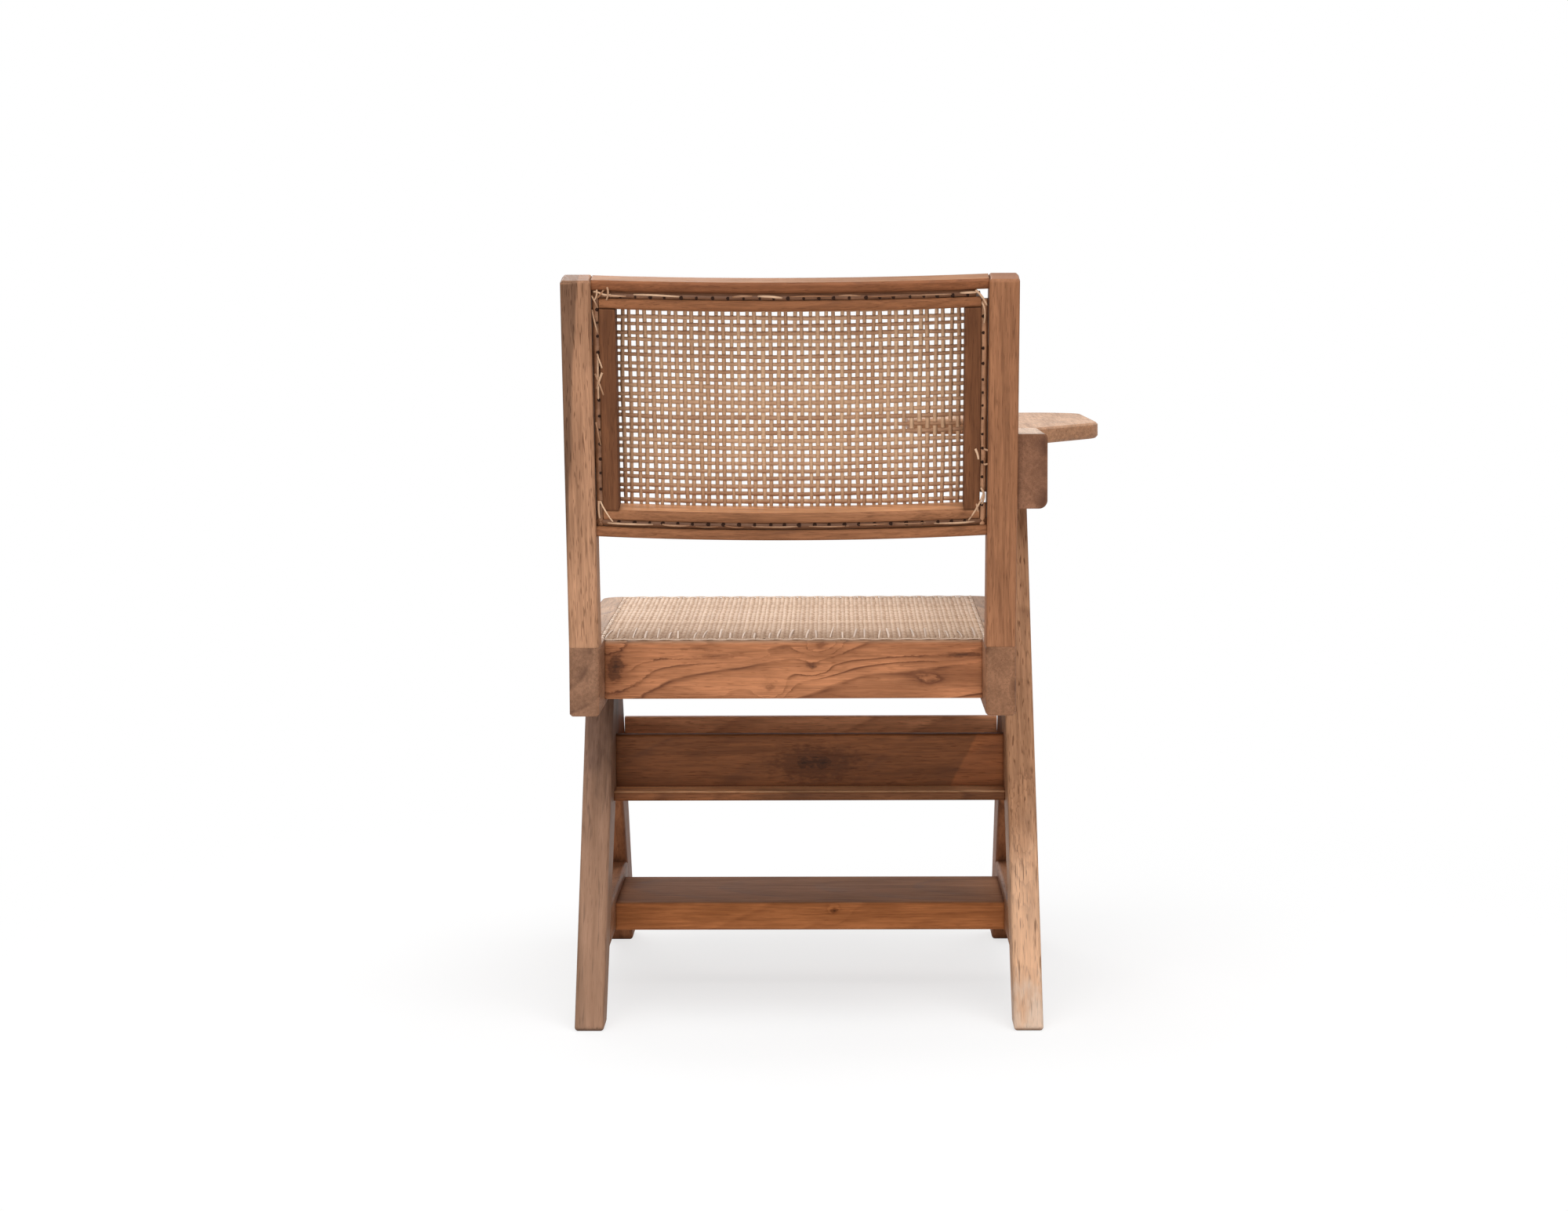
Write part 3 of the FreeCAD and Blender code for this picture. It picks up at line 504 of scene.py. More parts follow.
@dataclass(frozen=True)
class Band:
    """A strip of other colour along one side of a board, such as sapwood, or on the tray a painted patch of
    light.
    """

    start: float
    end: float
    lean: float
    colour: Colour
    share: float

    def over(self, tree: Tree, raw: Socket, middle: Vector, colour: Socket) -> Socket:
        """Colour with the band: a soft, ragged step across the board that leans along it.

        Args:
            tree: the material's tree.
            raw: object coordinates.
            middle: middle of the board.
            colour: colour without the band.

        Returns:
            The mixed colour.
        """
        split = tree.add("SeparateXYZ")
        tree.plug(split.inputs[0], tree.vector("SUBTRACT", raw, tuple(middle)))
        ragged = tree.noise(raw, (60.0, 9.0, 9.0), 2.0, 0.5)
        side = tree.sway(ragged, 0.008, tree.ramp(split.outputs[2], self.lean, split.outputs[0]))
        step = tree.spread(side, self.start, self.end)
        return tree.mix(tree.times(step, self.share), colour, tree.tint(colour, self.colour))


@dataclass(frozen=True)
class Weathering:
    """Bleached wood towards the floor, from a height downwards; with the dark base of the left rear leg it
    also paints the shade under the seat.
    """

    top: float
    bottom: float
    colour: Colour
    share: float
    pits: float
    chalk: float = 0.0
    chalky: Colour = paint(222, 206, 190)

    def over(self, tree: Tree, raw: Socket, place: Socket, colour: Socket, pit: Colour) -> Socket:
        """Colour bleached towards the floor: a step down the height, broken up by noise, with long dark pits.

        Args:
            tree: the material's tree.
            raw: object coordinates.
            place: coordinates with X along the grain.
            colour: colour without the weathering.
            pit: colour of the pits.

        Returns:
            The mixed colour.
        """
        split = tree.add("SeparateXYZ")
        tree.plug(split.inputs[0], raw)
        patch = tree.noise(raw, (60.0, 30.0, 14.0), 3.0, 0.6)
        height = tree.sway(patch, 0.16, split.outputs[2])
        bleached = tree.spread(height, self.bottom, self.top, self.share, 0.0)
        dry = tree.mix(0.4, self.colour, tree.tint(colour, (2.4, 2.4, 2.4)))
        groove = tree.noise(place, (26.0, 420.0, 420.0), 1.0, 0.5)
        dry = tree.mix(tree.times(tree.spread(groove, 0.6, 0.7), self.pits), dry, pit)
        dry = tree.mix(tree.spread(height, 0.0, 0.05, self.chalk, 0.0), dry, self.chalky)
        return tree.mix(bleached, colour, dry)


@dataclass(frozen=True)
class Teak:
    """How one board of teak was sawn and how it has aged."""

    base: Colour = paint(156, 108, 76)
    seed: float = 0.0
    ring_pitch: float = 0.0042
    pith: Pair = (0.07, 0.01)
    wander: float = 0.008
    figure: float = 1.0
    taper: float = 0.035
    ring_depth: float = 0.5
    streaks: float = 0.4
    pores: float = 0.5
    blotch: float = 0.6
    roughness: float = 0.52
    specular: float = 0.12
    end: float = 0.5
    # colour of the board's upward faces: painted light from above, None for none
    lit_top: Optional[Colour] = None
    knots: tuple[Knot, ...] = ()
    band: Optional[Band] = None
    weathering: Optional[Weathering] = None

    # paler edges are wear with a painted highlight; darker corners are grime with painted shade
    ENDS, WORN, GRIME, PITS = 0.55, 1.45, 0.25, 0.3  # shades of sawn ends, edges, corners and pits

    def shaded(self, factor: float) -> Colour:
        """The board's colour, lighter or darker by a factor."""
        return tuple(factor * part for part in self.base)

    def material(self, node: str, grain: Grain, groups: Groups) -> bpy.types.Material:
        """Material of one member.

        Args:
            node: the solid whose middle the pattern is centred on, and the material's name.
            grain: the way that the grain runs.
            groups: the shared node groups.

        Returns:
            The new material.
        """
        material, tree, shader = new_material(node)
        raw = tree.add("TexCoord").outputs["Object"]
        low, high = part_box(node)
        middle = (low + high) / 2
        turn = grain.turn()
        shift = Vector((self.seed, *self.pith)) - turn.to_matrix() @ middle
        place = tree.fill(tree.add("Mapping"), Vector=raw, Rotation=turn, Location=shift).outputs[0]
        grown = self.grow(tree, place, groups)
        colour = grown.outputs["Color"]
        if self.band:
            colour = self.band.over(tree, raw, middle, colour)
        if self.weathering:
            colour = self.weathering.over(tree, raw, place, colour, self.shaded(self.PITS))
        colour = self.cut(tree, grain, colour)
        wear_and_shade = groups.wear_and_shade.place(tree, Place=raw)
        edge, corner = wear_and_shade.outputs["Edge"], wear_and_shade.outputs["Corner"]
        # paler edges: wear and painted highlight; darker corners: grime and painted shade
        colour = tree.mix(tree.times(edge, 0.6), colour, self.shaded(self.WORN))
        colour = tree.mix(tree.times(corner, 0.35), colour, self.shaded(self.GRIME))
        rough = tree.math("ADD", grown.outputs["Shine"], self.roughness - 0.1)
        bump = tree.bump(grown.outputs["Height"], 0.25, 0.0006)
        tree.fill(bump, Normal=wear_and_shade.outputs["Normal"])
        tree.fill(shader, Base_Color=colour, Roughness=tree.ramp(corner, 0.2, rough))
        tree.fill(shader, Normal=bump.outputs[0], Specular_IOR_Level=self.specular)
        return material

    def grow(self, tree: Tree, place: Socket, groups: Groups) -> Node:
        """Grain of the board with its knots.

        Args:
            tree: the material's tree.
            place: coordinates with X along the grain.
            groups: the shared node groups.

        Returns:
            The grain's group node.
        """
        lift: Value = 0.0
        stain: Value = 0.0
        for knot in self.knots:
            swirl = groups.knot.place(
                tree,
                Place=place,
                Heart=(self.seed + knot.along, self.pith[0] + knot.across, self.pith[1] + knot.through),
                Stretch=(knot.stretch, 1.0, 1.0),
                Reach=knot.reach,
                Lift=knot.lift,
                Stain=knot.stain,
            )
            lift = tree.math("ADD", swirl.outputs["Lift"], lift)
            stain = tree.math("MAXIMUM", swirl.outputs["Stain"], stain)
        sawn = {name: getattr(self, name.lower()) for name in TeakGrain.SAWN}
        return groups.teak.place(tree, Place=place, Base=self.base, Knot_Lift=lift, Knot_Stain=stain, **sawn)

    def cut(self, tree: Tree, grain: Grain, colour: Socket) -> Socket:
        """Colour with darker sawn ends and, where the board has a lit top, with its upward faces in that
        colour: painted light from above.

        Args:
            tree: the material's tree.
            grain: the way that the grain runs.
            colour: colour of the sides.

        Returns:
            The mixed colour.
        """
        normal = tree.add("NewGeometry").outputs["Normal"]
        facing = tree.math("ABSOLUTE", tree.vector("DOT_PRODUCT", normal, grain.value))
        sawn = tree.times(tree.spread(facing, 0.55, 0.9), self.end)
        colour = tree.mix(sawn, colour, self.shaded(self.ENDS))
        if self.lit_top is None:
            return colour
        # painted light: upward faces mixed towards the lit colour
        upward = tree.spread(tree.vector("DOT_PRODUCT", normal, (0.0, 0.0, 1.0)), 0.5, 0.95)
        lighter = tuple(0.25 + 0.78 * top / side for top, side in zip(self.lit_top, self.base))
        return tree.mix(upward, colour, tree.tint(colour, lighter))


HIDDEN = Teak(seed=28.0)  # wood of the keys, which no side shows


@dataclass(frozen=True)
class Cane:
    """Colour and shine of split cane."""

    light: Colour
    deep: Colour
    roughness: float = 0.45
    specular: float = 0.3

    def material(self, name: str, grain: Grain, groups: Groups) -> bpy.types.Material:
        """Material of strands that mostly run one way.

        Args:
            name: the material's name.
            grain: the way that the strands run.
            groups: the shared node groups.

        Returns:
            The new material.
        """
        material, tree, shader = new_material(name)
        raw = tree.add("TexCoord").outputs["Object"]
        place = tree.fill(tree.add("Mapping"), Vector=raw, Rotation=grain.turn()).outputs[0]
        tone, dip = (tree.add("Attribute", attribute_name=label).outputs["Fac"] for label in ("tone", "dip"))
        split = groups.cane.place(tree, Place=place, Light=self.light, Deep=self.deep, Tone=tone, Dip=dip)
        bump = tree.bump(split.outputs["Height"], 0.3, 0.0002)
        tree.fill(shader, Base_Color=split.outputs["Color"], Roughness=tree.ramp(dip, 0.25, self.roughness))
        tree.fill(shader, Normal=bump.outputs[0], Specular_IOR_Level=self.specular)
        return material


CANE_SECTION = np.array([(-0.5, -0.3), (0.0, -0.45), (0.5, -0.3), (0.42, 0.2), (0.0, 0.5), (-0.42, 0.2)])


def ribbons(
    name: str, centres: Array, normals: Array, width: Size, thick: Size, tone: Size, dip: Size
) -> Object:
    """Closed strips of cane as one object: a flat section carried square along each path.

    Every point is centre + across * width + normal * thickness. Across is square to the path and the normal.

    Args:
        name: the object's name.
        centres: path points, shaped (strips, stations, 3).
        normals: directions of the rounded side, same shape.
        width: section widths, broadcast to (strips, stations).
        thick: section thicknesses, broadcast to (strips, stations).
        tone: shade of each strip from 0 to 1, or one for all.
        dip: how dark each strip and station is, from 0 to 1, broadcast to (strips, stations).

    Returns:
        The new object.
    """
    count, stations, _ = centres.shape
    corners = len(CANE_SECTION)
    across = np.cross(normals, np.gradient(centres, axis=1))
    across /= np.linalg.norm(across, axis=2, keepdims=True)
    wide = np.broadcast_to(width, (count, stations))[:, :, None] * CANE_SECTION[:, 0]
    deep = np.broadcast_to(thick, (count, stations))[:, :, None] * CANE_SECTION[:, 1]
    rings = centres[:, :, None] + across[:, :, None] * wide[..., None] + normals[:, :, None] * deep[..., None]
    index = np.arange(count * stations * corners).reshape(count, stations, corners)
    beside = np.roll(index, -1, axis=2)
    sides = np.stack([index[:, :-1], beside[:, :-1], beside[:, 1:], index[:, 1:]], axis=-1).reshape(-1, 4)
    ends = np.concatenate([index[:, 0, ::-1], index[:, -1, :]])
    points = rings.reshape(-1, 3)
    first, second, third = (points[sides[:, i]] for i in (0, 1, 2))
    outward = (rings - centres[:, :, None]).reshape(-1, 3)[sides[:, 0]]
    if np.sum(np.cross(second - first, third - first) * outward) < 0:
        sides, ends = sides[:, ::-1], ends[:, ::-1]
    mesh = bpy.data.meshes.new(name)
    mesh.from_pydata(points.tolist(), [], sides.tolist() + ends.tolist())
    mesh.polygons.foreach_set("use_smooth", np.ones(len(mesh.polygons), dtype=bool))
    shades = np.broadcast_to(np.reshape(tone, (-1, 1, 1)), index.shape)
    depths = np.broadcast_to(np.broadcast_to(dip, (count, stations))[:, :, None], index.shape)
    for label, values in (("tone", shades), ("dip", depths)):
        layer = mesh.attributes.new(label, "FLOAT", "POINT")
        layer.data.foreach_set("value", np.ascontiguousarray(values, dtype=np.float32).ravel())
    mesh.update()
    return new_object(name, mesh)


def bent_paths(knees: Array) -> Array:
    """Cubic curves through the space of four knees each: sums of the four Bernstein polynomials.

    Args:
        knees: the knees of each curve, shaped (curves, 4, 3).

    Returns:
        Points of the curves, shaped (curves, stations, 3).
    """
    share = np.linspace(0, 1, STATIONS)
    weights = np.stack([(1 - share) ** 3, 3 * share * (1 - share) ** 2, 3 * share**2 * (1 - share), share**3])
    return np.einsum("ks,nkc->nsc", weights, knees)


@dataclass(frozen=True)
class Weave:
    """Plain weave of two sets of flat strands, which leave their holes in pairs and spread evenly."""

    pitch: float
    width: float
    thick: float
    pairing: float
    fade: float
    wobble: float
    uneven: Pair
    shade: float = 0.6
    pinch: float = 0.2
    stations: int = 4
    seed: int = 7
    lift: float = 0.55
    widths: Pair = (0.88, 1.12)
    rates: Pair = (8, 60)

    def lines(self, half: float) -> Array:
        """Even places of the strands between -half and half, in pairs about the middle."""
        count = 2 * int(half / self.pitch)
        return (np.arange(count) - (count - 1) / 2) * self.pitch

    def strands(self, name: str, surface: Surface, stain: Stain, half: Pair, upright: bool) -> Object:
        """One set of strands: their height follows cos(pi * (crossing + strand)).

        Args:
            name: the object's name.
            surface: gives the point and the normal at (across, along, lift).
            stain: gives how dark the cane is at (across, along), from 0 where it is not darkened.
            half: half the width and half the length of the woven field.
            upright: whether the strands run along the second direction.

        Returns:
            The strands as one object.
        """
        draw = np.random.default_rng(self.seed + int(upright))
        over, along = half if upright else half[::-1]
        lines, crossings = self.lines(over), self.lines(along)
        run = np.linspace(-along, along, len(crossings) * self.stations + 1)
        count = len(lines)
        edge = np.exp(-(along - np.abs(run)) / self.fade)
        partner = np.where(np.arange(count) % 2 == 0, 1.0, -1.0)
        waves = draw.uniform(0, 2 * np.pi, (count, 1, 3))
        rates = draw.uniform(*self.rates, (count, 1, 3))
        wander = np.sin(run[None, :, None] * rates + waves).mean(axis=2) * self.wobble
        places = lines[:, None] + partner[:, None] * self.pairing * edge[None, :] + wander
        phase = np.interp(run, crossings, np.arange(len(crossings)))
        wave = np.cos(np.pi * (phase[None, :] + np.arange(count)[:, None]))
        wave = wave if upright else -wave
        runs = np.broadcast_to(run, places.shape)
        pair = (places, runs) if upright else (runs, places)
        centres, normals = surface(*pair, wave * self.thick * self.lift)
        width = self.width * draw.uniform(*self.widths, (count, 1)) * (1 - self.pinch * edge)
        dip = np.clip(self.shade * (0.5 - 0.5 * wave) + stain(*pair), 0, 1)
        tone = 0.5 + self.uneven[int(upright)] * draw.uniform(-0.5, 0.5, count)
        return ribbons(name, centres, normals, width, self.thick, tone, dip)


@dataclass
class Part:
    """A sub-assembly of the loaded frame, finished with the shared node groups."""

    frame: dict
    groups: Groups

    def dress(self, piece: Object, cane: Cane, grain: Grain, slot: str, *nodes: str) -> None:
        """Finish a new piece of cane.

        Args:
            piece: the new piece, which also names its material.
            cane: colour and shine.
            grain: the way that its strands run.
            slot: the material slot, not used.
            nodes: the solids that it stands for.
        """
        piece.data.materials.append(cane.material(piece.name, grain, self.groups))
        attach(piece, BODY)
        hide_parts(*nodes)
        logger.info("%s: %d faces", piece.name, len(piece.data.polygons))

    def finish(self, grain: Grain, **woods: Teak) -> None:
        """Give solids their wood.

        Args:
            grain: the way that their grain runs.
            woods: the wood of each solid, by the solid's name.
        """
        for node, wood in woods.items():
            slots = self.frame["nodes"][node].data.materials
            slots.clear()
            slots.append(wood.material(node, grain, self.groups))
            logger.info("%s: grain %s", node, grain.name.lower())


@dataclass
class SewnSlot(Part):
    """Cane sewn from hole to hole along the slot round the cane frame, with its loose ends.

    The back gives the place of (across, row, depth). Settings of four numbers are for the top, the bottom,
    the left and the right side. Spans are lengths of strands and steps are those from hole to hole, at most
    so many to a side, and both stop a gap before its end. Sizes of the hem and the band are width, thickness
    and depth in the slot. Tails are in mm: across, up the posts, depth.
    """

    place: Surface
    half: float
    rows: Pair
    slot: float = 0.008
    spans: Pair = (0.024, 0.062)
    steps: Pair = (0.0138, 0.0176)
    most: int = 60
    width: float = 0.0024
    thick: float = 0.0013
    tuck: float = 0.0012
    hole_gap: float = 0.01
    span_gap: float = 0.015
    inset: float = 0.0004
    slant: float = 0.0013
    swing: float = 0.0009
    bed: float = 0.0046
    rise: float = 0.0030
    kept: tuple[float, ...] = (0.8, 0.65, 0.2, 0.3)
    dulled: tuple[float, ...] = (0.0, 0.22, 0.0, 0.0)
    hole_sizes: tuple[float, ...] = (0.0041, 0.0046, 0.0037, 0.0037)
    hole_inset: float = 0.0017
    hole_depths: Triple = (0.0024, 0.0030, 0.0050)
    straw: Cane = Cane(paint(222, 184, 150), paint(140, 94, 62))
    hem: Cane = Cane(paint(128, 84, 56), paint(84, 52, 34))
    band: Cane = Cane(paint(190, 138, 102), paint(108, 70, 46))
    # colour of the dark plugs in the holes: painted shade inside them
    hole: Cane = Cane(paint(64, 35, 20), paint(44, 24, 14), 0.9)
    hem_size: Triple = (0.0079, 0.0040, 0.0052)
    band_size: Triple = (0.0056, 0.0012, 0.0034)
    band_inset: float = 0.0009
    hem_stations: int = 41
    ripple: float = 0.0003
    ripple_rates: Pair = (90, 110)
    band_tones: tuple[float, ...] = (1.0, 1.0, 0.75, 0.3, 0.3)
    hem_runs: tuple[tuple[float, float, float, float], ...] = (
        (-0.1935, 0.38248, 0.2068, 0.38248),
        (-0.2068, 0.137, 0.2068, 0.137),
        (0.203, 0.1332, 0.203, 0.3862),
        (-0.203, 0.1332, -0.203, 0.157),
        (-0.203, 0.169, -0.203, 0.376),
    )
    hem_inward: tuple[Pair, ...] = ((0, -1), (0, 1), (-1, 0), (1, 0), (1, 0))
    tail_size: Pair = (0.0025, 0.0012)
    tails: tuple[tuple[Triple, ...], ...] = (
        ((206.5, 381, 2), (204, 377, 0.3), (202, 373, 0.3), (200, 368, 3)),
        ((190, 391, 0.5), (188, 387, -1.5), (189, 381, -1.2), (191, 377, 1)),
        ((205, 385, 3), (199, 387, -1.0), (194, 381, -1.2), (186, 383, 2)),
        ((203, 378, 3), (198, 380, -1.4), (196, 385, -1.2), (193, 388, 1)),
        ((201, 388, 1), (200, 384, -1.6), (201, 380, -1.2), (204, 376, 2)),
        ((206.5, 366, 3), (205, 358, 0.6), (203, 350, 0.6), (201, 342, 3)),
        ((202, 320, 3), (201, 315, -0.4), (198.5, 311, -1.2), (197, 305, -1)),
        ((205, 298, 3), (201, 291, -0.6), (199, 285, -0.8), (196, 276, -0.2)),
        ((197, 300, -0.4), (200, 293, -1.2), (201, 288, -0.4), (204, 282, 3)),
        ((205, 246, 3), (203, 238, 0.4), (202, 230, 0.4), (200, 221, 3)),
        ((-194, 217, -0.2), (-196, 212, -1), (-198, 208, -0.8), (-197, 201, 2)),
        ((-203, 216, 2), (-207, 214.5, -1), (-210, 214, -1), (-213, 216, -0.2)),
        ((-203, 199, 2), (-207, 200, -1), (-210, 200.5, -1), (-213, 199, -0.2)),
        ((-203, 167, 1), (-199.5, 158, -0.8), (-194, 149, -0.9), (-187, 139, 1.5)),
        ((-195, 159, 1), (-196.5, 154, -0.8), (-197, 150, -0.8), (-198, 145, 2)),
        ((-199, 373, 3), (-203, 369, 0.4), (-204, 360, 0.4), (-202, 350, 3)),
        ((-193, 386, 2), (-198, 381, 0.4), (-202, 377, 0.2), (-205, 369, 2)),
        ((-200, 174, 2), (-204.5, 169, 0.2), (-205, 163, 0.2), (-201, 156, 2)),
        ((202, 161, 1.5), (199, 154, -0.8), (194.5, 147, -0.9), (189, 139, 1.5)),
        ((203.5, 161, 2), (204, 155, 0.6), (204, 149, 0.6), (203, 142, 2)),
    )

    def build(self) -> None:
        """Make the sewing, dark plugs that paint the shade in its holes, the hem with its band, and the loose
        ends.
        """
        draw = np.random.default_rng(11)
        self.sew(draw)
        self.fold()
        knees = np.array(self.tails) * MM
        centres, normals = self.place(*np.moveaxis(bent_paths(knees), -1, 0))
        wide, thick = self.tail_size
        width = wide * draw.uniform(0.8, 1.15, (len(knees), 1)) * np.linspace(1.0, 0.75, STATIONS)
        tone = draw.uniform(0.1, 0.8, len(knees))
        loose = ribbons("lacing_ends", centres, -normals, width, thick, tone, 0.05)
        self.dress(loose, self.straw, Grain.LEANING, "cane", "back_cane_lacing")

    def runs(self) -> tuple[tuple[Array, Array, Array], ...]:
        """Lay out the middle of the slot on each side of the cane frame.

        Returns:
            The start and the end of each side, and the way from it towards the cane.
        """
        low, high = self.rows
        top, bottom, side = high + self.slot / 2, low - self.slot / 2, self.half + self.slot / 2
        ends = (
            ((-self.half, top), (self.half, top), (0.0, -1.0)),
            ((-self.half, bottom), (self.half, bottom), (0.0, 1.0)),
            ((side, low), (side, high), (-1.0, 0.0)),
            ((-side, low), (-side, high), (1.0, 0.0)),
        )
        return tuple(tuple(np.array(part) for part in run) for run in ends)

    def sew(self, draw: np.random.Generator) -> None:
        """Strands that come out of one hole, lie in the slot and go into the next.

        A strand rises from its bed with a power of sin(pi * share), and lies a little askew.

        Args:
            draw: source of the small differences.
        """
        share = np.linspace(0, 1, STATIONS)
        bow = np.sin(np.pi * share)
        levels = np.array(self.hole_depths)[:, None]
        paths, plugs, shades, sizes = [], [], [], []
        sides = zip(self.runs(), self.kept, self.dulled, self.hole_sizes)
        for (start, end, inward), share_kept, shade, hole_size in sides:
            length = np.linalg.norm(end - start)
            way = (end - start) / length
            marks, stops = (np.cumsum(draw.uniform(*gaps, self.most)) for gaps in (self.steps, self.spans))
            marks, stops = marks[marks < length - self.hole_gap], stops[stops < length - self.span_gap]
            limits = np.concatenate([[0.0], stops, [length]])
            first, last = limits[:-1, None] + self.tuck, limits[1:, None] - self.tuck
            count = len(first)
            run = first + (last - first) * share
            lean = draw.uniform(-self.slant, self.slant, (count, 2))
            offset = self.inset + lean[:, :1] + (lean[:, 1:] - lean[:, :1]) * share
            offset = offset - self.swing * bow * draw.uniform(0.0, 1.2, (count, 1))
            flat = start + run[..., None] * way + offset[..., None] * inward
            depth = self.bed - self.rise * bow**0.45 * draw.uniform(0.8, 1.1, (count, 1))
            kept = draw.uniform(0, 1, count) < share_kept
            paths.append(np.concatenate([flat, depth[..., None]], axis=2)[kept])
            shades.append(np.full(kept.sum(), shade))
            holes = start + marks[:, None] * way + self.hole_inset * inward
            into = np.broadcast_to(levels, (len(marks), *levels.shape))
            plugs.append(np.concatenate([np.repeat(holes[:, None], len(levels), axis=1), into], axis=2))
            sizes.append(np.full((len(marks), 1), hole_size))
        centres, normals = self.place(*np.moveaxis(np.concatenate(paths), -1, 0))
        count = len(centres)
        width = self.width * draw.uniform(0.55, 1.15, (count, 1)) * (0.75 + 0.25 * bow)
        tone = draw.uniform(0.1, 1.1, count) + np.concatenate(shades)
        # darker towards both ends, where a strand goes into its hole: painted shade
        sewn = ribbons("lacing_sewn", centres, -normals, width, self.thick, tone, 0.8 * (1 - bow) ** 2)
        self.dress(sewn, self.straw, Grain.ACROSS, "cane", "back_cane_lacing")
        # dark plugs at the holes: painted shade inside them
        centres, _ = self.place(*np.moveaxis(np.concatenate(plugs), -1, 0))
        sideways = np.broadcast_to(np.array([1.0, 0.0, 0.0]), centres.shape)
        size = np.concatenate(sizes) * draw.uniform(0.7, 1.15, (len(centres), 1))
        dark = ribbons("lacing_hole_shade", centres, sideways, size, size, 0.5, 0.5)
        self.dress(dark, self.hole, Grain.ACROSS, "cane", "back_cane_lacing")

    def fold(self) -> None:
        """Folded edge of the weave, which fills the slot, and the flat band over its inner side.

        Both run straight. The band is shifted inward and ripples with a sine of its place.
        """
        ends = np.array(self.hem_runs)[:, None]
        flat = ends[..., :2] + (ends[..., 2:] - ends[..., :2]) * np.linspace(0, 1, self.hem_stations)[:, None]
        rate, row_rate = self.ripple_rates
        ripple = self.ripple * np.sin(rate * flat[..., 0] + row_rate * flat[..., 1])
        moved = flat + self.band_inset * np.array(self.hem_inward)[:, None] + ripple[..., None]
        for name, path, (width, thick, depth), cane, tone in (
            ("lacing_hem", flat, self.hem_size, self.hem, 0.4),
            ("lacing_band", moved, self.band_size, self.band, self.band_tones),
        ):
            centres, normals = self.place(path[..., 0], path[..., 1], np.full(path.shape[:2], depth))
            strips = ribbons(name, centres, -normals, width, thick, tone, 0.05)
            self.dress(strips, cane, Grain.ACROSS, "cane", "back_cane_lacing")


@dataclass
class Back(Part):
    """The leaning, bowed back: posts, rails, the cane frame with its weave, and the sewn slot."""

    bow_radius: float = 1.081225
    bow_centre: float = -1.065225
    frame_half: float = 0.199
    frame_rows: Pair = (0.141, 0.37848)
    rail_depth: float = 0.032
    cane: float = 0.0022
    darkening: float = 0.35
    clean_share: float = 0.5
    weave: Weave = Weave(0.00824, 0.0046, 0.00095, 0.0013, 0.035, wobble=0.0006, uneven=(0.6, 0.7))
    upright: Cane = Cane(paint(226, 186, 149), paint(178, 133, 99))
    level: Cane = Cane(paint(216, 173, 137), paint(166, 121, 89))

    def place(self, across: Array, row: Array, depth: Array) -> tuple[Array, Array]:
        """Point and normal of the back: an arc about a vertical axis, leaned about the seat.

        Args:
            across: distance from the middle.
            row: distance up the posts.
            depth: distance in front of the bowed rear face.

        Returns:
            Points, and normals towards the sitter.
        """
        radius = self.bow_radius - depth
        share = across / radius
        rise = np.sqrt(1 - share**2)
        back = self.bow_centre + radius * rise
        cos, sin = math.cos(LEAN), math.sin(LEAN)
        points = (across + SEAT_MIDDLE, back * cos + row * sin + RAIL_REAR, RAIL_TOP + row * cos - back * sin)
        return np.stack(points, axis=-1), np.stack([-share, -rise * cos, rise * sin], axis=-1)

    def sheet(self, across: Array, along: Array, lift: Array) -> tuple[Array, Array]:
        """Middle of the woven sheet on the front of the cane frame, lifted towards the sitter."""
        middle = sum(self.frame_rows) / 2
        return self.place(across, middle + along, self.rail_depth + self.cane / 2 + lift)

    def reach(self) -> float:
        """Half the height of the cane frame."""
        return (self.frame_rows[1] - self.frame_rows[0]) / 2

    def stain(self, across: Array, along: Array) -> Array:
        """Cane that is a little darker near the frame than in the middle."""
        near = np.maximum(np.abs(across) / self.frame_half, np.abs(along) / self.reach())
        return self.darkening * np.clip(near - self.clean_share, 0, 1)

    def build(self) -> None:
        """Make the weave and the sewing and give every member its finish."""
        half = (self.frame_half, self.reach())
        for name, cane, grain, upright in (
            ("back_cane_upright", self.upright, Grain.LEANING, True),
            ("back_cane_level", self.level, Grain.ACROSS, False),
        ):
            strands = self.weave.strands(name, self.sheet, self.stain, half, upright)
            self.dress(strands, cane, grain, "cane", "back_cane")
        SewnSlot(self.frame, self.groups, self.place, self.frame_half, self.frame_rows).build()
        # darker teak for the cane frame's stiles and blocks: painted shade of the recessed frame
        shade = Teak(paint(107, 67, 42), 7.0, pith=(0.06, 0.03), ring_depth=0.3)
        low = Teak(paint(139, 93, 63), 6.0, wander=0.012, ring_depth=0.3, lit_top=paint(212, 156, 112))
        rail = replace(low, base=paint(121, 74, 46), seed=3.0, pith=(0.05, 0.05), lit_top=paint(150, 106, 70))
        left = Teak(
            paint(160, 118, 90), 1.0, pith=(0.08, 0.02), ring_depth=0.2, streaks=0.3, pores=0.9,
            band=Band(0.0085, 0.0125, 0.058, (0.44, 0.43, 0.43), 1.0),
            weathering=Weathering(0.64, 0.48, paint(135, 106, 82), 0.45, 0.5),
        )
        right = Teak(
            paint(147, 100, 70), 2.0, pith=(0.03, 0.07), wander=0.02, ring_depth=0.2, streaks=0.2,
            knots=(Knot(0.184, -0.0064, 0.02, 0.005, 0.004),),
        )
        self.finish(
            Grain.LEANING,
            left_back_post=left,
            right_back_post=right,
            cane_frame_left_stile=shade,
            cane_frame_right_stile=shade,
        )
        self.finish(
            Grain.ACROSS,
            back_top_rail=rail,
            back_bottom_rail=replace(rail, base=paint(137, 90, 60), seed=5.0),
            cane_frame_top_rail=replace(rail, base=paint(131, 84, 54), seed=4.0),
            cane_frame_bottom_rail=low,
            cane_frame_blocks=shade,
        )


